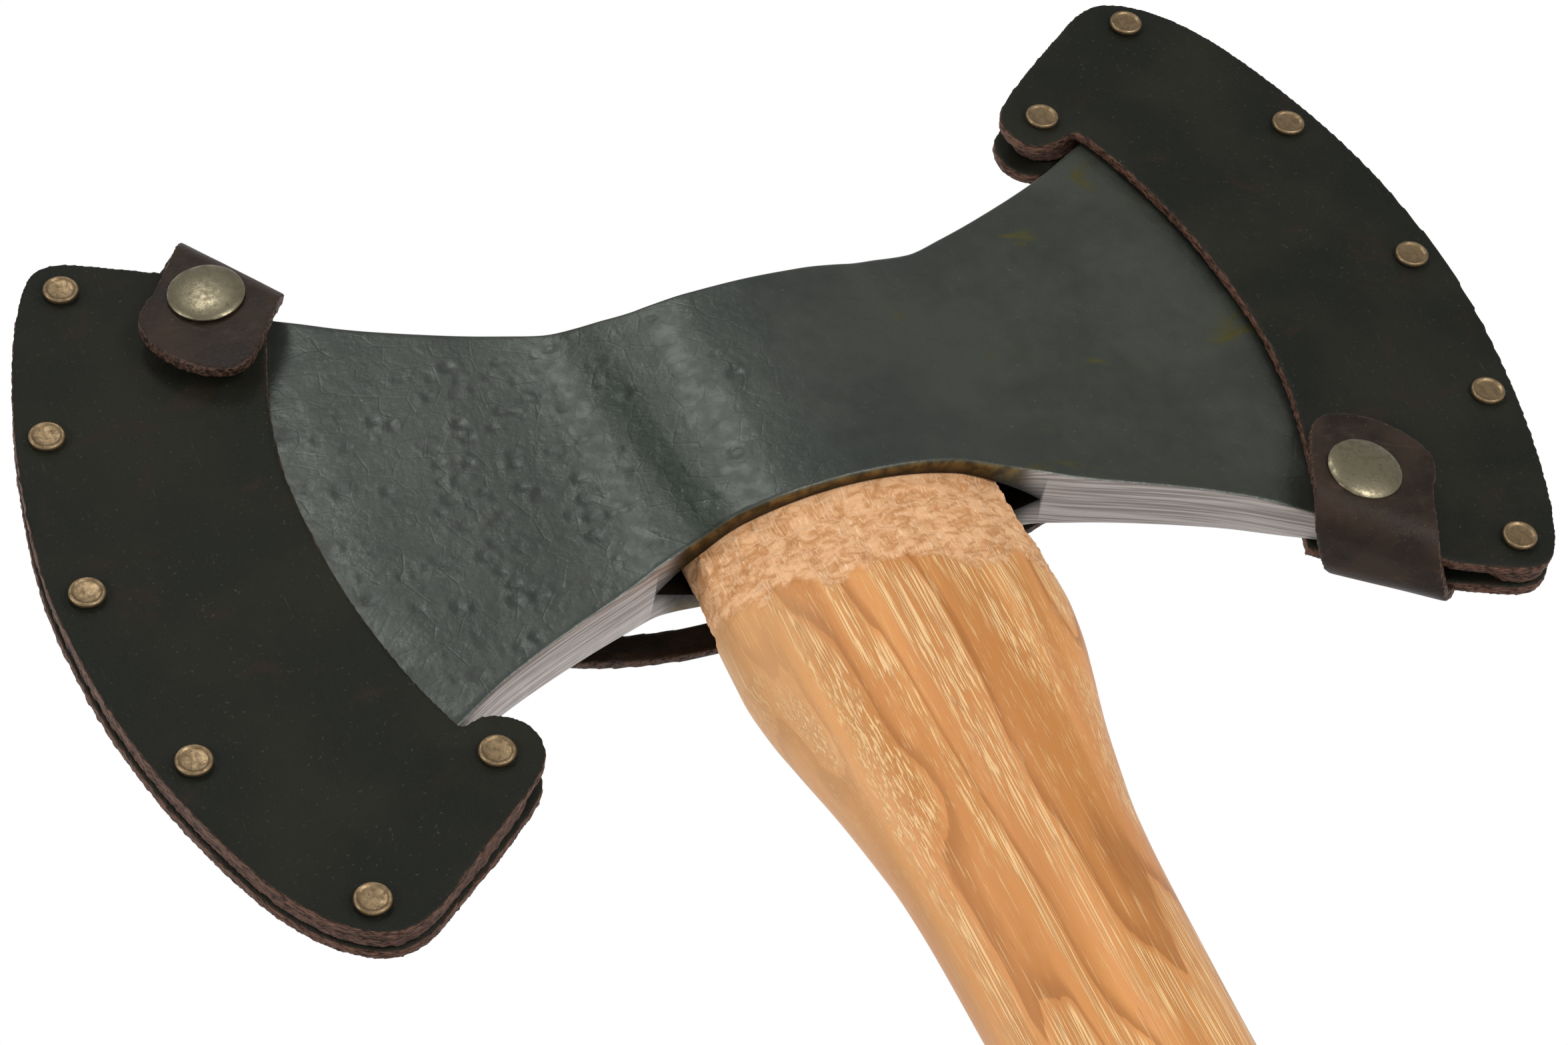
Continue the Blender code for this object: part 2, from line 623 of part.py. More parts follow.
strap = []
stations = []
reach = STRAP_RIVET_X + 4.6
for i in range(45):
    stations.append(reach * math.sin(math.pi / 2 * (-1 + 2 * i / 44)) * 0.35
                    + reach * (-1 + 2 * i / 44) * 0.65)
for x in stations:
    height = strap_height(x)
    slope = strap_height(x + 0.5) - strap_height(x - 0.5)
    across = Vector((-slope, 0.0, 1.0)).normalized()
    end = reach - abs(x)
    half = STRAP_WIDTH / 2 + 1.4 * smooth_step(12.0, 6.0, end) if end < 12.0 else STRAP_WIDTH / 2
    if end < 4.6:
        half = 4.7 * math.sqrt(max(1 - ((4.6 - end) / 4.62) ** 2, 0.0)) + 0.05
    level = strap_level(x)
    for sy, sz in ((-1, -1), (1, -1), (1, 1), (-1, 1)):
        spot = Vector((x, level + sy * STRAP_THICKNESS / 2, height)) + across * sz * half
        strap.append(tuple(spot))
STRAP_PAINT = (BROWN_LEATHER, 0.0, 0.7)
strap_body = make("connecting_strap", strap, tube_faces(len(stations), 4), STRAP_PAINT, AXE)
for side, sign in (("left", -1.0), ("right", 1.0)):
    bore, faces = turned([(0.0, 4.0), (RIVET_HOLE_RADIUS, 4.0), (RIVET_HOLE_RADIUS, 16.0), (0.0, 16.0)], 14)
    spot = Matrix.Translation((sign * STRAP_RIVET_X, 0.0, strap_height(STRAP_RIVET_X)))
    cut(strap_body, make("cutter_strap_" + side, bore, faces, None, AXE @ spot))
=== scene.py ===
# Looks of the double-bit felling axe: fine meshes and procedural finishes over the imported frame.
import math
import random
import bpy
import bmesh
import numpy as np
from mathutils import Matrix, Vector, noise


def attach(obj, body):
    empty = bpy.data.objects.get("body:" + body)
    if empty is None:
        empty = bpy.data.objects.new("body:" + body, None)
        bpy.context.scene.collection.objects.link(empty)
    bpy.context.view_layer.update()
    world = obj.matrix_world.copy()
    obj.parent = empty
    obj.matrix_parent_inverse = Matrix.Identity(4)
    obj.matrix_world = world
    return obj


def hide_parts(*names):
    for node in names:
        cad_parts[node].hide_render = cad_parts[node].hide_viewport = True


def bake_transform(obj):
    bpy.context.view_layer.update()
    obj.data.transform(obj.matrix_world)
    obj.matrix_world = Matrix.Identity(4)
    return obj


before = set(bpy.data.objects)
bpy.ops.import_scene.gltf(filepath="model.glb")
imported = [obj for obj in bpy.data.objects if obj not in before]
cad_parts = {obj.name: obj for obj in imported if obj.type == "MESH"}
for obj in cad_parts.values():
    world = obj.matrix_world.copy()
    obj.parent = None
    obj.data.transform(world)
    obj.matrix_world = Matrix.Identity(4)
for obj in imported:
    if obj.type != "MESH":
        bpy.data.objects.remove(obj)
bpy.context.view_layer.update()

# ---------- driving dimensions, in millimetres from the middle of the head ----------
MM = 0.001
HEAD_CENTRE = 871.0        # height of the middle of the head above the butt
EDGE_RADIUS = 133.0        # cutting edge, measured from the middle of the head
BIT_CORNER_X = 112.0       # x of the corners of the cutting edge
EYE_HALF_LENGTH = 40.0     # pointed oval eye
EYE_HALF_WIDTH = 13.4
KERF_HALF_LENGTH = 27.0    # saw slot for the wedge
LEATHER = 2.8              # leather thickness
GAP = 0.3                  # clearance where two pieces touch
RIM_ROUNDING = 0.9         # edge between a cheek and a rim
RASP_LOW = -48.5           # mean height of the lower border of the rasped wood
PIT_COUNT = 190            # craters in the forged skin, most of them on the left bit
PIT_CENTRE_X = -60.0
PIT_SPREAD = 19.0
AMBER_END = 33.0           # the lacquer round the eye ends here on the rims
GROUND_START = 39.0        # and the ground metal starts here
CAP_ROUNDS = 48            # facets round a rivet cap
SNAP_ROUNDS = 72           # facets round a snap cap
TONGUE_TIP_ROUNDING = 10.0
# half height of the head at a distance from its middle
RIM = [(0, 27), (22, 27.4), (30, 28.8), (38, 30.5), (46, 33.6), (57, 37.8), (66, 41.5),
       (76, 46.2), (84, 50.9), (90, 54.6), (97, 59.8), (104, 65.3), (112, 71.8)]
# half thickness of the head at a distance from its middle
CHEEK = [(0, 16), (12, 15.3), (20, 13.8), (28, 11.4), (34, 9.4), (40, 7.7), (46, 6.8),
         (54, 6.2), (66, 5.8), (78, 5.4), (90, 5.0), (102, 4.2), (114, 3.1), (124, 1.9),
         (130, 0.85), (133, 0.2)]
# half gap between the two leather panels at a distance from the middle of the head
POCKET = [(80, 6.0), (90, 5.55), (98, 4.95), (106, 4.2), (114, 3.45), (120, 2.8),
          (126, 2.15), (130, 1.75), (134, 1.5), (150, 1.5), (170, 1.5)]
RIVETS = [(-124.1, 71.2), (-137.1, 35.4), (-140.7, -3.3), (-133.8, -45.7), (-113.7, -83.6),
          (-82.7, -60.9)]
STRAP_END_X = 97.0
STRAP_RIVET_X = 106.0
STRAP_WIDTH = 6.6
STRAP_THICKNESS = 2.4
# handle sections: height, half width, half depth, share of oval
HANDLE = [(-871.0, 23.0, 12.5, 1), (-869.0, 25.2, 14.2, 1), (-865.0, 26.4, 15.2, 1),
          (-850.0, 27.0, 15.6, 1), (-828.0, 25.8, 15.0, 1), (-790.0, 22.0, 13.6, 1),
          (-730.0, 19.7, 12.7, 1), (-640.0, 18.8, 12.2, 1), (-500.0, 18.8, 12.2, 1),
          (-360.0, 19.3, 12.4, 1), (-260.0, 20.3, 12.6, 1), (-190.0, 21.2, 12.9, 1),
          (-157.0, 21.4, 12.9, 1), (-135.0, 21.9, 13.0, 1), (-120.0, 22.4, 13.1, 1),
          (-108.0, 23.3, 13.3, 1), (-97.0, 25.1, 13.6, 1), (-87.0, 27.1, 14.0, 1),
          (-76.0, 29.9, 14.4, 1), (-66.0, 32.2, 14.7, 1), (-57.0, 33.2, 14.8, 1),
          (-47.0, 33.2, 14.6, 0.85), (-40.0, 32.8, 14.1, 0.6), (-35.0, 32.5, 13.5, 0.3),
          (-32.0, 32.2, 13.1, 0), (-10.0, 32.2, 13.1, 0), (10.0, 32.2, 13.1, 0),
          (28.2, 32.2, 13.1, 0), (29.0, 31.4, 12.3, 0)]
# each tongue lies its own way: snap, direction of the fold in degrees, distance from the snap to the
# turn and to the tip, and how the leather drifts along the fold from the snap on
TONGUES = {
    "left": {"snap": (-99.5, 54.7), "turn": -55.0, "centre": 4.6, "tip": 16.6,
             "offset": 2.0, "shear": -0.42, "drift": -6.0},
    "right": {"snap": (-96.9, 52.3), "turn": -39.4, "centre": 6.4, "tip": 14.4,
              "offset": -1.2, "shear": -0.40, "drift": -1.0},
}
TONGUE_HALF_WIDTH = 12.6
FOLD_RADIUS = 6.0

AXE = Matrix.Translation((0.0, 0.0, HEAD_CENTRE))
SIDES = {"left": Matrix.Identity(4), "right": Matrix.Rotation(math.pi, 4, "Y")}
scene = bpy.context.scene
draw = random.Random(11)


# ---------- shape helpers ----------
def curve(table, at, column=1):
    """Smooth value through the rows of a table, held flat beyond its ends."""
    xs = [row[0] for row in table]
    ys = [row[column] for row in table]
    if at <= xs[0]:
        return ys[0]
    if at >= xs[-1]:
        return ys[-1]
    k = 0
    while at > xs[k + 1]:
        k += 1
    slopes = []
    for j in (k, k + 1):
        if j == 0 or j == len(xs) - 1:
            near = min(max(j, 1), len(xs) - 1)
            slopes.append((ys[near] - ys[near - 1]) / (xs[near] - xs[near - 1]))
            continue
        before = (ys[j] - ys[j - 1]) / (xs[j] - xs[j - 1])
        after = (ys[j + 1] - ys[j]) / (xs[j + 1] - xs[j])
        same_way = before * after > 0
        slopes.append(2 * before * after / (before + after) if same_way else 0.0)
    if xs[0] == 0 and k == 0:
        slopes[0] = 0.0
    width = xs[k + 1] - xs[k]
    t = (at - xs[k]) / width
    a = 2 * t ** 3 - 3 * t ** 2 + 1
    b = t ** 3 - 2 * t ** 2 + t
    c = -2 * t ** 3 + 3 * t ** 2
    d = t ** 3 - t ** 2
    return a * ys[k] + b * width * slopes[0] + c * ys[k + 1] + d * width * slopes[1]


def smooth_step(low, high, value):
    t = np.clip((value - low) / (high - low), 0.0, 1.0)
    return t * t * (3 - 2 * t)


def rim(x):
    return curve(RIM, abs(x))


def lens(x, half_length, half_width):
    radius = (half_length ** 2 + half_width ** 2) / (2 * half_width)
    return max(math.sqrt(max(radius ** 2 - x ** 2, 0.0)) - (radius - half_width), 0.0)


def rough(point, size, seed=0.0):
    """Noise between about -1 and 1 with features of the given size in millimetres."""
    return noise.noise(Vector(point) / size + Vector((seed, seed * 0.7, seed * 1.3)))


def new_object(name, points, faces, matrix=AXE):
    """A mesh object from points in millimetres, placed by the matrix."""
    placed = [tuple((matrix @ Vector(p)) * MM) for p in points]
    mesh = bpy.data.meshes.new(name)
    mesh.from_pydata(placed, [], faces)
    work = bmesh.new()
    work.from_mesh(mesh)
    bmesh.ops.remove_doubles(work, verts=work.verts, dist=0.0000005)
    bmesh.ops.recalc_face_normals(work, faces=work.faces)
    if work.calc_volume(signed=True) < 0:
        bmesh.ops.reverse_faces(work, faces=work.faces)
    work.to_mesh(mesh)
    work.free()
    made = bpy.data.objects.new(name, mesh)
    scene.collection.objects.link(made)
    return made


def applied(obj):
    """Replaces the object's mesh by its evaluated mesh, so no modifier is left."""
    graph = bpy.context.evaluated_depsgraph_get()
    mesh = bpy.data.meshes.new_from_object(obj.evaluated_get(graph))
    obj.modifiers.clear()
    obj.data = mesh
    return obj


def remeshed(obj, voxel, passes):
    """Even small faces all over, with every edge slightly rounded."""
    step = obj.modifiers.new("remesh", "REMESH")
    step.mode = "VOXEL"
    step.voxel_size = voxel * MM
    soften = obj.modifiers.new("soften", "SMOOTH")
    soften.factor = 0.5
    soften.iterations = passes
    return applied(obj)


def points_of(obj, matrix):
    """Vertex places and normals in the millimetre frame of the matrix."""
    mesh = obj.data
    count = len(mesh.vertices)
    places = np.empty(count * 3)
    normals = np.empty(count * 3)
    mesh.vertices.foreach_get("co", places)
    mesh.vertex_normals.foreach_get("vector", normals)
    back = np.array(matrix.inverted())
    places = places.reshape(-1, 3) / MM @ back[:3, :3].T + back[:3, 3]
    return places, normals.reshape(-1, 3) @ back[:3, :3].T


def set_points(obj, places, matrix):
    there = np.array(matrix)
    moved = (places @ there[:3, :3].T + there[:3, 3]) * MM
    obj.data.vertices.foreach_set("co", moved.ravel())
    obj.data.update()


def keep_rest(obj, places):
    """Stores the resting place in millimetres, which the finishes read."""
    store = obj.data.attributes.new("rest", "FLOAT_VECTOR", "POINT")
    store.data.foreach_set("vector", places.astype(np.float32).ravel())


def keep_mask(obj, name, values):
    store = obj.data.attributes.new(name, "FLOAT", "POINT")
    store.data.foreach_set("value", np.asarray(values, np.float32))


def dress(obj, finish, body=None, stands_for=()):
    obj.data.materials.clear()
    obj.data.materials.append(finish)
    obj.data.polygons.foreach_set("use_smooth", [True] * len(obj.data.polygons))
    if stands_for:
        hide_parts(*stands_for)
    if body:
        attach(obj, body)


# ---------- finishes ----------
class Finish:
    """A material with short calls for the nodes it is made of."""

    def __init__(self, name, metallic=0.0, roughness=0.5, stored=True):
        self.material = bpy.data.materials.new(name)
        self.material.use_nodes = True
        self.nodes = self.material.node_tree.nodes
        self.links = self.material.node_tree.links
        self.shader = self.nodes["Principled BSDF"]
        self.shader.inputs["Metallic"].default_value = metallic
        self.shader.inputs["Roughness"].default_value = roughness
        if stored:
            source = self.nodes.new("ShaderNodeAttribute")
            source.attribute_name = "rest"
            self.place = source.outputs["Vector"]
        else:
            source = self.nodes.new("ShaderNodeTexCoord")
            self.place = self.stretch(source.outputs["Object"], (1000.0, 1000.0, 1000.0))

    def put(self, socket, value):
        if isinstance(value, (int, float, tuple)):
            socket.default_value = value
        else:
            self.links.new(value, socket)

    def stretch(self, vector, scale, offset=(0.0, 0.0, 0.0)):
        node = self.nodes.new("ShaderNodeMapping")
        node.inputs["Scale"].default_value = scale
        node.inputs["Location"].default_value = offset
        self.links.new(vector, node.inputs["Vector"])
        return node.outputs["Vector"]

    def noise(self, size, detail=3.0, vector=None, bend=0.0, rough=0.55):
        """Noise with features of about the given size in millimetres; size may be one for each axis."""
        sizes = size if isinstance(size, tuple) else (size, size, size)
        node = self.nodes.new("ShaderNodeTexNoise")
        scaled = self.stretch(vector or self.place, tuple(1.0 / s for s in sizes))
        self.links.new(scaled, node.inputs["Vector"])
        node.inputs["Scale"].default_value = 1.0
        node.inputs["Detail"].default_value = detail
        node.inputs["Distortion"].default_value = bend
        node.inputs["Roughness"].default_value = rough
        return node.outputs["Fac"]

    def cells(self, size, feature="F1"):
        node = self.nodes.new("ShaderNodeTexVoronoi")
        node.feature = feature
        sizes = size if isinstance(size, tuple) else (size, size, size)
        scaled = self.stretch(self.place, tuple(1.0 / s for s in sizes))
        self.links.new(scaled, node.inputs["Vector"])
        node.inputs["Scale"].default_value = 1.0
        return node.outputs["Distance"]

    def mask(self, name):
        node = self.nodes.new("ShaderNodeAttribute")
        node.attribute_name = name
        return node.outputs["Fac"]

    def map(self, value, low, high, to_low=0.0, to_high=1.0):
        node = self.nodes.new("ShaderNodeMapRange")
        node.interpolation_type = "SMOOTHSTEP"
        self.links.new(value, node.inputs["Value"])
        node.inputs["From Min"].default_value = low
        node.inputs["From Max"].default_value = high
        node.inputs["To Min"].default_value = to_low
        node.inputs["To Max"].default_value = to_high
        return node.outputs["Result"]

    def math(self, operation, a, b=0.0):
        node = self.nodes.new("ShaderNodeMath")
        node.operation = operation
        self.put(node.inputs[0], a)
        self.put(node.inputs[1], b)
        return node.outputs[0]

    def mix(self, share, a, b, way="MIX"):
        node = self.nodes.new("ShaderNodeMix")
        node.data_type = "RGBA"
        node.blend_type = way
        node.clamp_factor = True
        self.put(node.inputs[0], share)
        self.put(node.inputs[6], a + (1.0,) if isinstance(a, tuple) else a)
        self.put(node.inputs[7], b + (1.0,) if isinstance(b, tuple) else b)
        return node.outputs[2]

    def split(self):
        node = self.nodes.new("ShaderNodeSeparateXYZ")
        self.links.new(self.place, node.inputs[0])
        return node.outputs["X"], node.outputs["Y"], node.outputs["Z"]

    def colour(self, value):
        self.put(self.shader.inputs["Base Color"], value)

    def roughness(self, value):
        self.put(self.shader.inputs["Roughness"], value)

    def bump(self, height, depth):
        """Height between 0 and 1 stands for the depth in millimetres."""
        node = self.nodes.new("ShaderNodeBump")
        node.inputs["Strength"].default_value = 1.0
        node.inputs["Distance"].default_value = depth * MM
        self.links.new(height, node.inputs["Height"])
        self.links.new(node.outputs["Normal"], self.shader.inputs["Normal"])


def steel_finish():
    f = Finish("forged_steel_finish", 0.6, 0.42)
    broad = f.noise(26.0, 4.0)
    fine = f.noise(3.5, 5.0)
    grain = f.noise(0.7, 3.0)
    x, _, z = f.split()
    tone = f.mix(f.map(broad, 0.30, 0.70), (0.048, 0.055, 0.047), (0.065, 0.072, 0.062))
    right_side = f.map(x, -10.0, 60.0)
    smoother = f.mix(f.map(broad, 0.4, 0.62), (0.052, 0.058, 0.048), (0.068, 0.075, 0.061))
    tone = f.mix(right_side, tone, smoother)
    olive = f.math("MULTIPLY", f.map(f.noise((16.0, 9.0, 9.0), 5.0, bend=0.6), 0.60, 0.74), right_side)
    tone = f.mix(olive, tone, (0.085, 0.078, 0.022))
    tone = f.mix(f.map(fine, 0.28, 0.44, 0.14, 0.0), tone, (0.042, 0.047, 0.041))
    # painted shade: a dark ring just inside the edge of each pit, standing for the shadow on the crater wall
    crater = f.mask("crater")
    tone = f.mix(f.math("MULTIPLY", crater, 0.38), tone, (0.024, 0.027, 0.026))
    # painted shade: the hollow beside the eye is darkened along a ragged band, more strongly lower down, for
    # the dark reflection it shows
    hollow_shade_reach = f.math("ABSOLUTE", f.math("ADD", f.math("ADD", x, 31.5), f.math("MULTIPLY", z, 0.12)))
    ragged = f.math("ADD", hollow_shade_reach, f.math("MULTIPLY", fine, 3.0))
    lower = f.map(z, 26.0, -12.0, 0.55, 0.95)
    tone = f.mix(f.math("MULTIPLY", f.map(ragged, 7.5, 2.5), lower), tone, (0.020, 0.028, 0.019))
    fleck = f.math("MULTIPLY", f.map(grain, 0.66, 0.76), 0.55)
    tone = f.mix(fleck, tone, (0.16, 0.17, 0.155))
    ground = f.mask("ground")
    lines = f.noise((30.0, 0.45, 30.0), 3.0)
    bright = f.mix(f.map(lines, 0.38, 0.62), (0.27, 0.235, 0.222), (0.52, 0.475, 0.45))
    tone = f.mix(ground, tone, bright)
    amber = f.mask("amber")
    amber_tone = f.mix(f.map(f.noise(3.0, 4.0), 0.35, 0.65), (0.050, 0.034, 0.010), (0.17, 0.115, 0.04))
    tone = f.mix(amber, tone, amber_tone)
    # painted shade: the steel on the eye wall is painted nearly black
    f.colour(f.mix(f.mask("eye_wall_shade"), tone, (0.004, 0.004, 0.003)))
    f.roughness(f.map(fine, 0.3, 0.7, 0.32, 0.44))
    height = f.math("ADD", f.math("MULTIPLY", f.noise(1.6, 5.0), 0.8), f.math("MULTIPLY", fine, 0.9))
    cracks = f.map(f.cells((7.0, 7.0, 5.0), "DISTANCE_TO_EDGE"), 0.0, 0.05, 0.0, 0.12)
    f.bump(f.math("ADD", height, cracks), 0.12)
    return f.material


def dark_leather_finish():
    f = Finish("dark_leather_finish", 0.0, 0.62)
    cloud = f.noise(22.0, 4.0)
    tone = f.mix(f.map(cloud, 0.35, 0.68), (0.0075, 0.0090, 0.0055), (0.0155, 0.0155, 0.0100))
    red = f.map(f.noise((14.0, 14.0, 9.0), 5.0, bend=0.5), 0.56, 0.72, 0.0, 0.55)
    tone = f.mix(red, tone, (0.023, 0.013, 0.008))
    speck = f.map(f.noise(0.7, 2.0), 0.66, 0.74, 0.0, 0.6)
    tone = f.mix(speck, tone, (0.060, 0.058, 0.045))
    scratch = f.map(f.noise((0.5, 0.5, 9.0), 2.0), 0.70, 0.80, 0.0, 0.35)
    tone = f.mix(scratch, tone, (0.07, 0.06, 0.045))
    fibre = f.noise((1.6, 0.45, 1.6), 4.0)
    raw = f.mix(f.map(fibre, 0.33, 0.66), (0.020, 0.009, 0.006), (0.175, 0.088, 0.058))
    f.colour(f.mix(f.mask("cut"), tone, raw))
    f.roughness(f.map(cloud, 0.3, 0.7, 0.5, 0.66))
    f.shader.inputs["Specular IOR Level"].default_value = 0.16
    pores = f.cells(0.9)
    skin = f.math("ADD", f.math("MULTIPLY", pores, 0.35), f.math("MULTIPLY", f.noise(0.45, 3.0), 0.8))
    rough_edge = f.math("MULTIPLY", f.math("MULTIPLY", fibre, f.mask("cut")), 3.0)
    f.bump(f.math("ADD", skin, rough_edge), 0.13)
    return f.material


def brown_leather_finish():
    f = Finish("brown_leather_finish", 0.0, 0.5)
    cloud = f.noise(9.0, 4.0)
    tone = f.mix(f.map(cloud, 0.35, 0.68), (0.014, 0.0080, 0.0048), (0.034, 0.020, 0.0125))
    pull = f.map(f.noise((6.0, 2.5, 2.5), 4.0, bend=0.4), 0.55, 0.72, 0.0, 0.4)
    tone = f.mix(pull, tone, (0.065, 0.038, 0.025))
    tone = f.mix(f.map(f.noise(0.5, 2.0), 0.68, 0.78, 0.0, 0.5), tone, (0.15, 0.11, 0.08))
    fibre = f.noise(0.8, 4.0)
    raw = f.mix(f.map(fibre, 0.33, 0.66), (0.014, 0.008, 0.006), (0.12, 0.066, 0.045))
    f.colour(f.mix(f.mask("cut"), tone, raw))
    f.roughness(f.map(cloud, 0.3, 0.7, 0.40, 0.56))
    f.shader.inputs["Specular IOR Level"].default_value = 0.2
    skin = f.math("ADD", f.math("MULTIPLY", f.cells(0.8), 0.4), f.math("MULTIPLY", f.noise(0.4, 3.0), 0.7))
    rough_edge = f.math("MULTIPLY", f.math("MULTIPLY", fibre, f.mask("cut")), 3.0)
    f.bump(f.math("ADD", skin, rough_edge), 0.12)
    return f.material


def edge_leather_finish():
    f = Finish("edge_leather_finish", 0.0, 0.9)
    fibre = f.noise((1.4, 0.4, 1.4), 5.0)
    tone = f.mix(f.map(fibre, 0.32, 0.66), (0.018, 0.008, 0.006), (0.15, 0.075, 0.05))
    f.colour(tone)
    f.bump(fibre, 0.4)
    return f.material


def brass_finish(name, bright, dull, dark, roughness, stored=True):
    f = Finish(name, 0.9, roughness, stored)
    patch = f.noise(1.3, 5.0)
    tone = f.mix(f.map(patch, 0.34, 0.62), dull, bright)
    tone = f.mix(f.map(f.noise(0.45, 3.0), 0.60, 0.72, 0.0, 0.75), tone, dark)
    f.colour(tone)
    f.roughness(f.map(patch, 0.3, 0.7, roughness + 0.12, roughness - 0.06))
    f.bump(f.noise(0.5, 3.0), 0.03)
    return f.material


def wood_finish():
    f = Finish("handle_wood_finish", 0.0, 0.45)
    x, y, z = f.split()
    # growth rings about a pith that leans, so flat-sawn figures show on the broad faces
    sway = f.math("MULTIPLY", f.math("SUBTRACT", f.noise((26.0, 26.0, 150.0), 2.0), 0.5), 26.0)
    fine_sway = f.math("MULTIPLY", f.math("SUBTRACT", f.noise((7.0, 7.0, 60.0), 3.0), 0.5), 4.0)
    lean_x = f.math("MULTIPLY", f.math("ADD", z, 90.0), 0.03)
    lean_y = f.math("MULTIPLY", f.math("ADD", z, 60.0), 0.11)
    side = f.math("ADD", f.math("SUBTRACT", x, 13.0), lean_x)
    deep = f.math("ADD", f.math("SUBTRACT", y, 8.0), lean_y)
    squares = f.math("ADD", f.math("MULTIPLY", side, side), f.math("MULTIPLY", deep, deep))
    reach = f.math("SQRT", squares)
    ring = f.math("ADD", reach, f.math("ADD", sway, fine_sway))
    phase = f.math("FRACT", f.math("DIVIDE", ring, 6.4))
    # pore streaks lie in the early part of each ring
    early = f.math("MULTIPLY", f.map(phase, 0.0, 0.10), f.map(phase, 0.62, 0.40))
    streak = f.map(f.noise((0.30, 0.30, 24.0), 2.0), 0.49, 0.57)
    sparse = f.map(f.noise((0.35, 0.35, 15.0), 2.0), 0.58, 0.64, 0.0, 0.7)
    band = f.noise((11.0, 11.0, 170.0), 2.0)
    tone = f.mix(f.map(band, 0.36, 0.64), (0.53, 0.215, 0.058), (0.75, 0.335, 0.110))
    elsewhere = f.stretch(f.place, (1.0, 1.0, 1.0), (40.0, 0.0, 9.0))
    pink = f.map(f.noise((9.0, 9.0, 120.0), 2.0, elsewhere), 0.52, 0.66, 0.0, 0.35)
    tone = f.mix(pink, tone, (0.66, 0.285, 0.115))
    late = f.math("MULTIPLY", f.map(phase, 0.80, 0.97), f.map(phase, 1.0, 0.985))
    tone = f.mix(f.math("MULTIPLY", late, 0.55), tone, (0.30, 0.105, 0.025))
    pores = f.math("MAXIMUM", f.math("MULTIPLY", early, streak), f.math("MULTIPLY", sparse, 0.6))
    tone = f.mix(f.math("MULTIPLY", pores, 0.85), tone, (0.88, 0.58, 0.28))
    tone = f.mix(f.map(f.noise((0.5, 0.5, 7.0), 2.0), 0.66, 0.74, 0.0, 0.4), tone, (0.36, 0.15, 0.05))
    # painted highlight: the wood gets paler towards the -x edge of the handle, a rim light with a noisy
    # border
    ragged = f.math("ADD", x, f.math("MULTIPLY", f.noise((9.0, 9.0, 20.0), 3.0), 9.0))
    painted_rim_light = f.map(ragged, -12.0, -24.0, 0.0, 0.55)
    tone = f.mix(painted_rim_light, tone, (0.66, 0.37, 0.165))
    # torn, unoiled wood under the head
    sawn = f.mask("rasp")
    torn = f.noise((3.4, 3.4, 2.2), 6.0, bend=0.8, rough=0.65)
    fibres = f.noise((0.35, 0.35, 3.0), 3.0)
    fresh = f.mix(f.map(torn, 0.36, 0.60), (0.56, 0.26, 0.100), (0.80, 0.46, 0.24))
    fresh = f.mix(f.map(fibres, 0.55, 0.68, 0.0, 0.6), fresh, (0.92, 0.66, 0.42))
    f.colour(f.mix(sawn, tone, fresh))
    f.roughness(f.map(sawn, 0.0, 1.0, 0.40, 0.85))
    f.shader.inputs["Specular IOR Level"].default_value = 0.3
    long_grain = f.math("MULTIPLY", f.noise((0.5, 0.5, 12.0), 3.0), 0.7)
    grain = f.math("ADD", f.math("MULTIPLY", pores, -0.5), long_grain)
    tears = f.math("MULTIPLY", f.math("MULTIPLY", torn, sawn), 2.5)
    f.bump(f.math("ADD", grain, tears), 0.16)
    return f.material


STEEL = steel_finish()
DARK_LEATHER = dark_leather_finish()
BROWN_LEATHER = brown_leather_finish()
EDGE_LEATHER = edge_leather_finish()
RIVET_BRASS = brass_finish("rivet_brass_finish", (0.30, 0.215, 0.120), (0.19, 0.130, 0.070),
                           (0.08, 0.045, 0.022), 0.40)
SNAP_BRASS = brass_finish("snap_brass_finish", (0.25, 0.22, 0.145), (0.18, 0.155, 0.10),
                          (0.07, 0.058, 0.03), 0.33)
HIDDEN_BRASS = brass_finish("inner_brass_finish", (0.50, 0.44, 0.28), (0.36, 0.31, 0.19),
                            (0.13, 0.11, 0.05), 0.35, stored=False)
WOOD = wood_finish()


# ---------- head ----------
def head_columns():
    """Positions along the head, with one exactly at each end of the eye."""
    found = set(round(float(v), 3) for v in np.linspace(-133, 133, 361))
    found |= {-EYE_HALF_LENGTH, EYE_HALF_LENGTH}
    return sorted(found)


def scattered_pits():
    """Craters of the forged skin: x, z, radius and strength."""
    found = []
    for _ in range(PIT_COUNT):
        x = PIT_CENTRE_X + PIT_SPREAD * draw.gauss(0.0, 1.0)
        found.append((x, draw.uniform(-44.0, 30.0), draw.uniform(0.8, 1.9), draw.uniform(0.5, 1.0)))
    return found


def cheek_points(columns):
    """Points of the front cheek, column by column from the lower rim to the upper one."""
    near_rim = [0.0, 0.12, 0.3, 0.55, 0.9]
    inner_rows = 96
    found = []
    for middle in columns:
        s = middle / EDGE_RADIUS
        share = float(smooth_step(0.35, 1.0, abs(s)))
        edge = middle - math.copysign((EDGE_RADIUS - BIT_CORNER_X) * share, s)
        top = rim(edge)
        half = curve(CHEEK, abs(middle))
        rounding = min(RIM_ROUNDING, half * 0.6)
        heights = [-top + d for d in near_rim]
        inner = top - near_rim[-1]
        heights += [-inner + 2 * inner * (j + 1) / inner_rows for j in range(inner_rows - 1)]
        heights += [top - d for d in reversed(near_rim)]
        for z in heights:
            v = z / top
            x = edge + (middle - edge) * (1 - v * v)
            d = min(top - abs(z), rounding)
            y = half - (rounding - math.sqrt(max(rounding ** 2 - (rounding - d) ** 2, 0.0)))
            found.append([x, -y, z])
    return np.array(found)


def near_pit(places, pit):
    """Which points lie near a crater, and how far from its middle in radii."""
    x, z, size, _ = pit
    away = np.hypot(places[:, 0] - x, (places[:, 2] - z) * 1.25) / size
    near = away < 2.2
    return near, away[near]


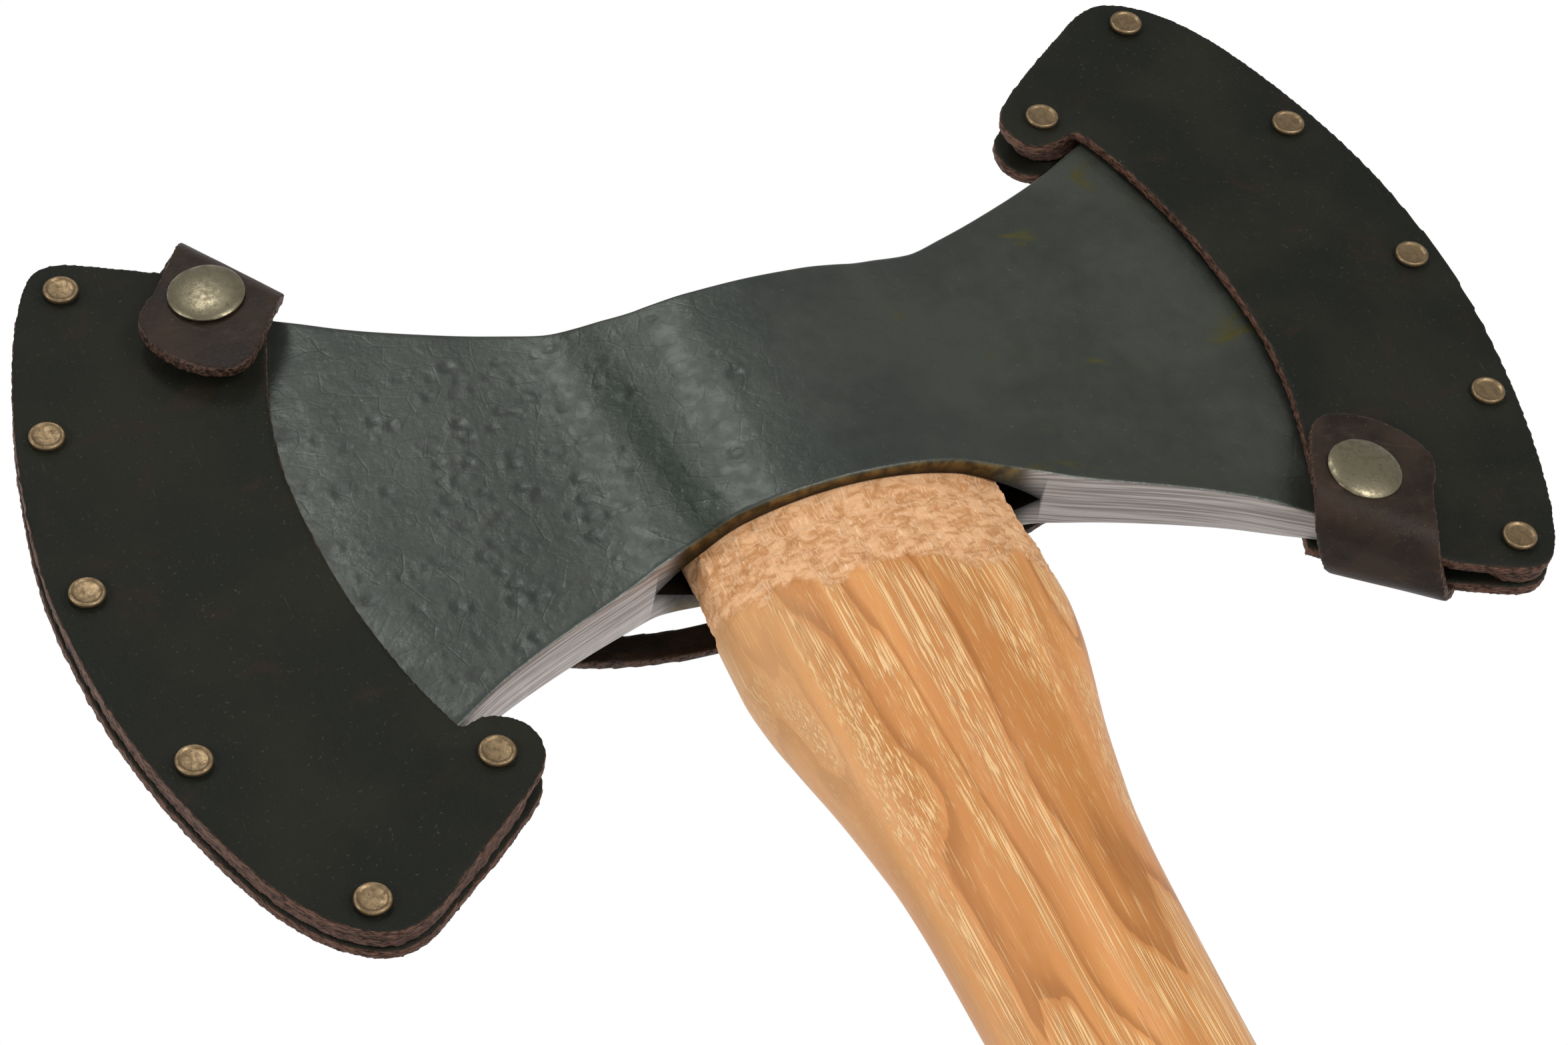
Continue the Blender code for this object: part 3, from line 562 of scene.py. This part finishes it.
def make_head():
    columns = head_columns()
    pits = scattered_pits()
    front = cheek_points(columns)
    dent = np.zeros(len(front))
    flat_share = smooth_step(0.0, 3.0, np.array([rim(x) - abs(z) for x, _, z in front]))
    for pit in pits:
        near, away = near_pit(front, pit)
        bowl = np.exp(-(away / 0.75) ** 2)
        lip = np.exp(-((away - 1.25) / 0.38) ** 2)
        dent[near] += pit[3] * (0.15 * bowl - 0.08 * lip)
    wave = np.array([rough(p, 17.0, 3.0) * 0.10 + rough(p, 5.0, 8.0) * 0.025 for p in front])
    thin = np.clip(np.abs(front[:, 1]) / 3.0, 0.0, 1.0)
    front[:, 1] += (dent + wave) * flat_share * thin
    back = front * np.array([1.0, -1.0, 1.0])
    points = [tuple(p) for p in front] + [tuple(p) for p in back]
    total = len(front)
    across = len(front) // len(columns)
    faces = []
    for i in range(len(columns) - 1):
        for j in range(across - 1):
            a = i * across + j
            b = a + across
            faces.append((a, b, b + 1, a + 1))
            faces.append((total + a, total + a + 1, total + b + 1, total + b))
    for j in range(across - 1):
        a = j
        b = (len(columns) - 1) * across + j
        faces.append((a, a + 1, total + a + 1, total + a))
        faces.append((b, total + b, total + b + 1, b + 1))
    eye = {}
    for i, middle in enumerate(columns):
        if abs(middle) > EYE_HALF_LENGTH:
            continue
        for level, j in ((0, 0), (1, across - 1)):
            x, z = front[i * across + j][0], front[i * across + j][2]
            wide = lens(middle, EYE_HALF_LENGTH, EYE_HALF_WIDTH)
            for sign in (-1, 1):
                if wide < 0.001 and sign == 1:
                    eye[(i, level, 1)] = eye[(i, level, -1)]
                    continue
                eye[(i, level, sign)] = len(points)
                points.append((x, sign * wide, z))
    for i in range(len(columns) - 1):
        for level, j in ((0, 0), (1, across - 1)):
            a = i * across + j
            b = a + across
            if abs(columns[i]) > EYE_HALF_LENGTH or abs(columns[i + 1]) > EYE_HALF_LENGTH:
                middle_a = eye.get((i, level, -1))
                middle_b = eye.get((i + 1, level, -1))
                ring = [a, b] + ([middle_b] if middle_b else []) + [total + b, total + a]
                faces.append(tuple(ring + ([middle_a] if middle_a else [])))
                continue
            for sign, base in ((-1, 0), (1, total)):
                ring = [base + a, base + b, eye[(i + 1, level, sign)], eye[(i, level, sign)]]
                faces.append(tuple(ring))
        if abs(columns[i]) <= EYE_HALF_LENGTH and abs(columns[i + 1]) <= EYE_HALF_LENGTH:
            for sign in (-1, 1):
                ring = [eye[(i, 0, sign)], eye[(i + 1, 0, sign)], eye[(i + 1, 1, sign)], eye[(i, 1, sign)]]
                faces.append(tuple(ring))
    head = new_object("head_steel", points, faces)
    places, _ = points_of(head, AXE)
    keep_rest(head, places)
    below = np.array([rim(x) for x in places[:, 0]]) - np.abs(places[:, 2])
    on_rim = 1 - smooth_step(0.05, 0.5, below)
    reach = np.abs(places[:, 0])
    ground_share = smooth_step(AMBER_END, GROUND_START, reach)
    keep_mask(head, "ground", on_rim * ground_share)
    keep_mask(head, "amber", on_rim * (1 - ground_share))
    # mask for the painted shade on the wall of the eye
    opening = np.array([lens(x, EYE_HALF_LENGTH, EYE_HALF_WIDTH) for x in places[:, 0]])
    in_eye = (np.abs(places[:, 1]) < opening + 0.05) & (reach < EYE_HALF_LENGTH + 0.01)
    keep_mask(head, "eye_wall_shade", in_eye * 1.0)
    # the crater mask carries painted shade: a ring just inside the edge of each pit
    ring = np.zeros(len(places))
    for pit in pits:
        near, away = near_pit(places, pit)
        ring[near] = np.maximum(ring[near], pit[3] * np.exp(-((away - 0.9) / 0.3) ** 2))
    keep_mask(head, "crater", ring * smooth_step(0.5, 3.0, below))
    dress(head, STEEL, "axe", ["axe_head"])
    sharp = head.modifiers.new("corners", "EDGE_SPLIT")
    sharp.split_angle = math.radians(52)
    applied(head)
    return head


# ---------- handle ----------
def make_handle():
    heights = [-871.0, -870.2, -869.0, -867.0, -865.0]
    at = -862.0
    while at < RASP_LOW - 12.0:
        heights.append(at)
        at += 6.0 if at < -330.0 else 2.2
    at = RASP_LOW - 12.0
    while at < -27.0:
        heights.append(at)
        at += 0.55
    heights += [-20.0, -10.0, 0.0, 10.0, 20.0, 26.0, 28.2, 28.7, 29.0]
    around = 220
    points = []
    for height in heights:
        half_width = curve(HANDLE, height, 1)
        half_depth = curve(HANDLE, height, 2)
        oval = min(max(curve(HANDLE, height, 3), 0.0), 1.0)
        for j in range(around):
            angle = 2 * math.pi * j / around
            c = math.cos(angle)
            s = math.sin(angle)
            ox = half_width * math.copysign(abs(c) ** 0.87, c)
            oy = half_depth * math.copysign(abs(s) ** 0.87, s)
            lx = half_width * math.copysign(abs(c) ** 0.8, c)
            ly = lens(lx, EYE_HALF_LENGTH - GAP, half_depth) * min(abs(s) / 0.3, 1.0)
            ly = math.copysign(ly, s)
            points.append((lx + (ox - lx) * oval, ly + (oy - ly) * oval, height))
    faces = []
    for i in range(len(heights) - 1):
        for j in range(around):
            k = (j + 1) % around
            faces.append((i * around + j, i * around + k, (i + 1) * around + k, (i + 1) * around + j))
    faces.append(tuple(range(around)))
    last = (len(heights) - 1) * around
    faces.append(tuple(last + j for j in range(around)))
    handle = new_object("handle_wood", points, faces)
    kerf = new_object("kerf_cutter", wedge_points(KERF_HALF_LENGTH, 2.8, 0.8, 33.0, -16.0), BOX_FACES)
    cut = handle.modifiers.new("kerf", "BOOLEAN")
    cut.operation = "DIFFERENCE"
    cut.object = kerf
    applied(handle)
    bpy.data.objects.remove(kerf, do_unlink=True)
    places, normals = points_of(handle, AXE)
    rest = places.copy()
    border = np.array([RASP_LOW + rough((p[0], p[1], 0.0), 9.0, 5.0) * 3.4 + rough(p, 2.2, 2.0) * 2.6
                       - 0.13 * p[0] for p in places])
    rasp = smooth_step(0.0, 0.9, places[:, 2] - border) * (1 - smooth_step(28.0, 28.6, places[:, 2]))
    torn = np.zeros(len(places))
    for i, p in enumerate(places):
        if rasp[i] > 0 and p[2] < -26.0:
            ridge = 1 - abs(rough((p[0], p[1], p[2] * 1.3), 3.4, 1.0)) * 2.2
            torn[i] = 0.34 * ridge + 0.30 * rough((p[0], p[1], p[2] * 1.6), 1.3, 4.0) - 0.42
        elif p[2] < -26.0:
            torn[i] = 0.05 * rough((p[0], p[1], p[2] * 0.12), 4.0, 6.0)
    inside_eye = smooth_step(-29.0, -27.5, places[:, 2])
    places += normals * (torn * (1 - inside_eye))[:, None]
    set_points(handle, places, AXE)
    keep_rest(handle, rest)
    keep_mask(handle, "rasp", rasp)
    dress(handle, WOOD, "axe", ["handle"])
    sharp = handle.modifiers.new("corners", "EDGE_SPLIT")
    sharp.split_angle = math.radians(50)
    applied(handle)
    return handle


BOX_FACES = [(0, 1, 2, 3), (4, 5, 6, 7), (0, 1, 5, 4), (1, 2, 6, 5), (2, 3, 7, 6), (3, 0, 4, 7)]


def wedge_points(half_length, top, bottom, high, low):
    return [(-half_length, -bottom, low), (half_length, -bottom, low), (half_length, bottom, low),
            (-half_length, bottom, low), (-half_length, -top, high), (half_length, -top, high),
            (half_length, top, high), (-half_length, top, high)]


def make_wedge():
    shape = wedge_points(KERF_HALF_LENGTH - GAP, 2.3, 0.6, 29.2, -14.5)
    wedge = new_object("wedge_wood", shape, BOX_FACES)
    remeshed(wedge, 0.5, 2)
    places, normals = points_of(wedge, AXE)
    # its grain runs across the handle's and comes from another part of the pattern
    keep_rest(wedge, places[:, [2, 1, 0]] + np.array([0.0, 20.0, 300.0]))
    keep_mask(wedge, "rasp", np.full(len(places), 0.35))
    lift = np.array([rough((p[0] * 0.3, p[1] * 2.0, p[2]), 1.2, 9.0) * 0.07 for p in places])
    set_points(wedge, places + normals * lift[:, None], AXE)
    dress(wedge, WOOD, "axe", ["eye_wedge"])


# ---------- leather ----------
def copy_of(node, name):
    made = bpy.data.objects.new(name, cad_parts[node].data.copy())
    made.data.materials.clear()
    scene.collection.objects.link(made)
    return made


def fray(obj, matrix, wave, fuzz, spots=()):
    """Uneven leather: gentle waves on the faces, fibres on the cut edges, dents about the rivets."""
    places, normals = points_of(obj, matrix)
    cut = 1 - smooth_step(0.45, 0.80, np.abs(normals[:, 1]))
    lift = np.empty(len(places))
    for i, p in enumerate(places):
        lift[i] = wave * rough(p, 19.0, 2.0)
        if cut[i] > 0.02:
            thread = rough((p[0], p[1] * 2.4, p[2]), 1.1, 7.0) + 0.6 * rough(p, 3.1, 1.0)
            lift[i] += fuzz * cut[i] * thread
    for x, z in spots:
        away = np.hypot(places[:, 0] - x, places[:, 2] - z)
        lift -= 0.30 * np.exp(-((away - 3.5) / 1.1) ** 2) * (1 - cut)
    keep_rest(obj, places)
    keep_mask(obj, "cut", cut)
    set_points(obj, places + normals * lift[:, None], matrix)


def make_panels(side, place):
    for face in ("front", "back"):
        node = "%s_%s_panel" % (side, face)
        panel = copy_of(node, "%s_%s_leather" % (side, face))
        remeshed(panel, 0.6, 3)
        fray(panel, place, 0.13, 0.24, RIVETS)
        dress(panel, DARK_LEATHER, side + "_cover", [node])
    welt = copy_of(side + "_welt", side + "_welt_leather")
    remeshed(welt, 0.6, 2)
    fray(welt, place, 0.05, 0.30)
    dress(welt, EDGE_LEATHER, side + "_cover", [side + "_welt"])


def turned(profile, count):
    """Points and faces of a closed profile of (radius, n) turned about the local n axis."""
    points = []
    rows = []
    for radius, n in profile:
        if radius < 0.0001:
            rows.append([len(points)] * count)
            points.append((0.0, n, 0.0))
            continue
        rows.append(list(range(len(points), len(points) + count)))
        for j in range(count):
            angle = 2 * math.pi * j / count
            points.append((radius * math.cos(angle), n, radius * math.sin(angle)))
    faces = []
    for i in range(len(rows)):
        a = rows[i]
        b = rows[(i + 1) % len(rows)]
        if a[0] == a[1] and b[0] == b[1]:
            continue
        for j in range(count):
            k = (j + 1) % count
            face = []
            for index in (a[j], a[k], b[k], b[j]):
                if index not in face:
                    face.append(index)
            if len(face) > 2:
                faces.append(tuple(face))
    return points, faces


def cap_profile(level):
    """A flat cap with a raised ring just inside its edge."""
    return [(0.0, level + 0.68), (1.2, level + 0.68), (2.3, level + 0.70), (2.6, level + 0.76),
            (2.8, level + 0.92), (3.0, level + 0.99), (3.2, level + 0.95), (3.38, level + 0.8),
            (3.47, level + 0.55), (3.45, level + 0.2), (3.3, level - 0.15)]


def make_metal(name, profile, matrix, finish, body, node, seed, count=CAP_ROUNDS):
    points, faces = turned(profile, count)
    metal = new_object(name, points, faces, matrix)
    places, normals = points_of(metal, matrix)
    lift = np.array([0.035 * rough(p, 1.6, seed) for p in places])
    keep_rest(metal, places + np.array([seed * 9.0, 0.0, seed * 5.0]))
    set_points(metal, places + normals * lift[:, None], matrix)
    dress(metal, finish, body, [node])
    metal.modifiers.new("corners", "EDGE_SPLIT").split_angle = math.radians(40)
    applied(metal)


def pocket(x, z):
    radius = math.hypot(x, z)
    gap = curve(POCKET, radius)
    if z < 0 and x > -BIT_CORNER_X - 4:
        share = float(smooth_step(0.0, 5.0, (-z - rim(x)) * 0.81))
        gap = gap + (min(gap, LEATHER) - gap) * share
    return gap


def make_rivets(side, place):
    for number, (x, z) in enumerate(RIVETS):
        level = pocket(x, z) + LEATHER
        front = cap_profile(level + 0.12)
        profile = front + [(1.2, level - 0.2), (1.2, -level + 0.2)]
        profile += [(r, -n) for r, n in reversed(front)]
        at = place @ Matrix.Translation((x, 0.0, z)) @ Matrix.Rotation(math.pi, 4, "Z")
        name = "%s_rivet_%d" % (side, number + 1)
        seed = number + (7 if side == "right" else 0)
        make_metal(name + "_brass", profile, at, RIVET_BRASS, side + "_cover", name, seed)
    x = -STRAP_RIVET_X
    inner = pocket(x, 0.0)
    level = strap_level(x) + STRAP_THICKNESS / 2
    profile = [(0.0, inner + 0.25), (3.5, inner + 0.25), (3.6, inner + 0.55), (3.5, inner + 0.85),
               (1.2, inner + 0.85), (1.2, level - 0.2)]
    profile += list(reversed(cap_profile(level + 0.12)))
    at = place @ Matrix.Translation((x, 0.0, 0.0))
    make_metal(side + "_strap_brass", profile, at, RIVET_BRASS, side + "_cover",
               side + "_strap_rivet", 17)


SNAP = (-98.3, 53.2)
SNAP_RADIUS = math.hypot(*SNAP)
SNAP_TILT = math.atan((curve(POCKET, SNAP_RADIUS - 6) - curve(POCKET, SNAP_RADIUS + 6)) / 12)
SNAP_FACE = curve(POCKET, SNAP_RADIUS) + LEATHER
OUTWARD = Vector((SNAP[0] / SNAP_RADIUS, 0.0, SNAP[1] / SNAP_RADIUS))
FRONT_LEVEL = SNAP_FACE + 3.55 + LEATHER / 2
BACK_LEVEL = 3.85 + LEATHER / 2
FACE_NORMAL = Vector((OUTWARD.x * math.sin(SNAP_TILT), -math.cos(SNAP_TILT),
                      OUTWARD.z * math.sin(SNAP_TILT)))


def snap_matrix(spot):
    along = FACE_NORMAL.cross(Vector((0.0, 0.0, 1.0))).normalized()
    up = along.cross(FACE_NORMAL).normalized()
    turn = Matrix((along, FACE_NORMAL, up)).transposed().to_4x4()
    return Matrix.Translation((spot[0], -SNAP_FACE, spot[1])) @ turn


def tongue_path(centre, tip):
    """(across, level, across part of the normal, level part) along the middle of the leather."""
    found = []
    for i in range(13):
        a = 0.32 + (math.pi / 2 - 0.32) * i / 12
        level = BACK_LEVEL - FOLD_RADIUS + FOLD_RADIUS * math.cos(a)
        found.append((centre + FOLD_RADIUS * math.sin(a), level, math.sin(a), math.cos(a)))
    for i in range(15):
        a = math.pi / 2 + math.pi / 2 * i / 14
        level = -FRONT_LEVEL + FOLD_RADIUS + FOLD_RADIUS * math.cos(a)
        found.append((centre + FOLD_RADIUS * math.sin(a), level, math.sin(a), math.cos(a)))
    steps = 22
    for i in range(1, steps + 1):
        g = centre - (centre + tip) * math.sin(math.pi / 2 * i / steps)
        found.append((g, -FRONT_LEVEL, 0.0, -1.0))
    return found


def make_tongue(side, place):
    lie = TONGUES[side]
    angle = math.radians(lie["turn"])
    fold = Vector((math.cos(angle), 0.0, math.sin(angle)))
    across = Vector((-math.sin(angle), 0.0, math.cos(angle)))
    spot = Vector((lie["snap"][0], 0.0, lie["snap"][1]))
    path = tongue_path(lie["centre"], lie["tip"])
    lengths = [0.0]
    for one, two in zip(path, path[1:]):
        lengths.append(lengths[-1] + math.hypot(two[0] - one[0], two[1] - one[1]))
    last = lengths[-1]
    width = 24
    points = []
    for (g, level, ng, ny), length in zip(path, lengths):
        to_tip = last - length
        half = TONGUE_HALF_WIDTH
        if to_tip < TONGUE_TIP_ROUNDING:
            run = (TONGUE_TIP_ROUNDING - to_tip) / (TONGUE_TIP_ROUNDING + 0.02)
            half *= math.sqrt(max(1 - run ** 2.9, 0.0)) + 0.02
        half -= 1.0 * float(smooth_step(-4.0, 6.0, level))
        beyond = last - lie["tip"] - length - lie["drift"]
        eased = (beyond + math.sqrt(beyond ** 2 + 36.0)) / 2 + lie["drift"]
        shift = lie["offset"] + lie["shear"] * eased
        for layer in (-1, 1):
            for j in range(width + 1):
                w = half * (-1 + 2 * j / width)
                front = (BACK_LEVEL - level) / (BACK_LEVEL + FRONT_LEVEL)
                step = fold * w + across * min(g, 6.0)
                lift = -math.tan(SNAP_TILT) * step.dot(OUTWARD) * (1 - 2 * front)
                away = math.hypot(w + shift, g)
                lift += 0.5 * math.exp(-(away / 6.5) ** 2) * (1 if level < -9 else 0)
                here = spot + fold * (w + shift) + across * (g + ng * layer * LEATHER / 2)
                points.append((here.x, level + lift + ny * layer * LEATHER / 2, here.z))
    row = width + 1
    block = 2 * row
    faces = []
    end = len(path) - 1
    for i in range(end):
        a = i * block
        b = a + block
        for j in range(width):
            faces.append((a + j, a + j + 1, b + j + 1, b + j))
            faces.append((a + row + j, b + row + j, b + row + j + 1, a + row + j + 1))
        faces.append((a, b, b + row, a + row))
        faces.append((a + width, a + row + width, b + row + width, b + width))
    for a in (0, end * block):
        for j in range(width):
            faces.append((a + j, a + row + j, a + row + j + 1, a + j + 1))
    tongue = new_object(side + "_tongue_leather", points, faces, place)
    remeshed(tongue, 0.5, 3)
    places, normals = points_of(tongue, place)
    # the cut edges face along the fold or towards the tip, the skin faces out of the turn
    direction = np.array(fold)
    beside = np.abs(normals @ direction)
    tip = np.clip(-(normals @ np.array(across)), 0.0, 1.0) * (places[:, 1] < -8.0)
    cut = smooth_step(0.45, 0.8, np.maximum(beside, tip))
    lift = np.array([0.12 * rough(p, 9.0, 3.0) + 0.22 * c * rough(p, 1.0, 5.0)
                     for p, c in zip(places, cut)])
    keep_rest(tongue, places)
    keep_mask(tongue, "cut", cut)
    set_points(tongue, places + normals * lift[:, None], place)
    dress(tongue, BROWN_LEATHER, None, [side + "_tongue"])
    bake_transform(tongue)
    top = 3.55 + LEATHER
    dome = [(0.0, top + 1.78), (1.5, top + 1.76), (3.0, top + 1.64), (4.4, top + 1.46),
            (5.6, top + 1.22), (6.5, top + 0.98), (7.1, top + 0.74), (7.45, top + 0.48),
            (7.5, top + 0.25), (7.3, top + 0.05), (1.6, top + 0.05), (1.6, 2.95), (0.0, 2.95)]
    make_metal(side + "_snap_cap_brass", dome, place @ snap_matrix(lie["snap"]), SNAP_BRASS,
               side + "_flap", side + "_snap_cap", 3 if side == "left" else 5, SNAP_ROUNDS)


# ---------- connecting strap ----------
def strap_height(x):
    share = x / STRAP_RIVET_X
    return (-25.0 + 9.0 * share) * (1 - share ** 2)


def strap_level(x):
    share = min(abs(x) / STRAP_END_X, 1.0)
    level = curve(POCKET, STRAP_END_X) + LEATHER + GAP + 0.1 + STRAP_THICKNESS / 2
    if abs(x) > STRAP_END_X:
        return level - 0.094 * (abs(x) - STRAP_END_X)
    return level + 16.3 * (1 - share ** 4) ** 2


def make_strap_half(side, sign):
    reach = STRAP_RIVET_X + 4.6
    points = []
    steps = 90
    for i in range(steps + 1):
        x = sign * reach * math.sin(math.pi / 2 * i / steps)
        height = strap_height(x)
        slope = strap_height(x + 0.5) - strap_height(x - 0.5)
        across = Vector((-slope, 0.0, 1.0)).normalized()
        end = reach - abs(x)
        half = STRAP_WIDTH / 2 + 1.4 * float(smooth_step(12.0, 6.0, end))
        if end < 4.6:
            half = 4.7 * math.sqrt(max(1 - ((4.6 - end) / 4.62) ** 2, 0.0)) + 0.05
        for sy, sz in ((-1, -1), (1, -1), (1, 1), (-1, 1)):
            spot = Vector((x, strap_level(x) + sy * STRAP_THICKNESS / 2, height)) + across * sz * half
            points.append(tuple(spot))
    faces = [(0, 1, 2, 3), tuple(steps * 4 + j for j in range(4))]
    for i in range(steps):
        for j in range(4):
            k = (j + 1) % 4
            faces.append((i * 4 + j, i * 4 + k, i * 4 + 4 + k, i * 4 + 4 + j))
    strap = new_object("strap_%s_half" % side, points, faces)
    remeshed(strap, 0.5, 2)
    fray(strap, AXE, 0.12, 0.15)
    dress(strap, BROWN_LEATHER, None, ["connecting_strap"])
    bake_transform(strap)


make_head()
make_handle()
make_wedge()
for side, turn in SIDES.items():
    place = AXE @ turn
    make_panels(side, place)
    make_rivets(side, place)
    make_tongue(side, place)
    for part in ("snap_post", "snap_stud", "snap_socket"):
        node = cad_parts["%s_%s" % (side, part)]
        for index in range(len(node.data.materials)):
            node.data.materials[index] = HIDDEN_BRASS
        if not node.data.materials:
            node.data.materials.append(HIDDEN_BRASS)
make_strap_half("left", -1)
make_strap_half("right", 1)


# ---------- floor, light and camera ----------
def make_floor():
    reach = 3000.0
    level = -0.6
    corners = [(-reach, -reach, level), (reach, -reach, level), (reach, reach, level), (-reach, reach, level)]
    floor = new_object("floor", corners, [(0, 1, 2, 3)], Matrix.Identity(4))
    paper = bpy.data.materials.new("floor_paper")
    paper.use_nodes = True
    shader = paper.node_tree.nodes["Principled BSDF"]
    shader.inputs["Base Color"].default_value = (0.85, 0.85, 0.85, 1.0)
    shader.inputs["Roughness"].default_value = 0.9
    floor.data.materials.append(paper)


def softbox(name, direction, away, size, power):
    data = bpy.data.lights.new(name, "AREA")
    data.shape = "RECTANGLE"
    data.size = size[0]
    data.size_y = size[1]
    data.energy = power
    lamp = bpy.data.objects.new(name, data)
    scene.collection.objects.link(lamp)
    middle = Vector((0.0, 0.0, HEAD_CENTRE * MM))
    towards = Vector(direction).normalized()
    lamp.location = middle + towards * away
    lamp.rotation_euler = towards.to_track_quat("Z", "Y").to_euler()


make_floor()
softbox("key", (-0.06, -0.80, 0.57), 1.3, (0.20, 0.45), 2.6)
softbox("left_fill", (-0.85, -0.45, 0.10), 1.6, (0.7, 0.7), 8.0)
softbox("low_fill", (0.35, -0.90, -0.30), 1.5, (0.6, 0.6), 8.0)

world = bpy.data.worlds.new("studio")
scene.world = world
world.use_nodes = True
# white behind the axe, softer grey in front of it so that the steel shows its shape
backdrop = world.node_tree.nodes["Background"]
direction = world.node_tree.nodes.new("ShaderNodeTexCoord")
parts = world.node_tree.nodes.new("ShaderNodeSeparateXYZ")
fade = world.node_tree.nodes.new("ShaderNodeMapRange")
fade.interpolation_type = "SMOOTHSTEP"
fade.inputs["From Min"].default_value = -0.25
fade.inputs["From Max"].default_value = 0.45
fade.inputs["To Min"].default_value = 0.40
fade.inputs["To Max"].default_value = 1.0
world.node_tree.links.new(direction.outputs["Generated"], parts.inputs[0])
world.node_tree.links.new(parts.outputs["Y"], fade.inputs["Value"])
world.node_tree.links.new(fade.outputs["Result"], backdrop.inputs["Strength"])
backdrop.inputs["Color"].default_value = (1.0, 1.0, 1.0, 1.0)
scene.view_settings.view_transform = "Standard"

camera_data = bpy.data.cameras.new("camera")
camera = bpy.data.objects.new("camera", camera_data)
scene.collection.objects.link(camera)
scene.camera = camera
camera_data.sensor_width = 36.0
camera_data.lens = 92.5
to_right = Vector((0.9163, -0.1118, -0.3845))
to_bottom = Vector((-0.2242, 0.6523, -0.7240))
ahead = Vector((0.3317, 0.7497, 0.5726))
stand = Matrix((to_right, -to_bottom, -ahead)).transposed().to_4x4()
stand.translation = Vector((-0.2644, -0.57495, (HEAD_CENTRE - 461.0) * MM))
camera.matrix_world = stand
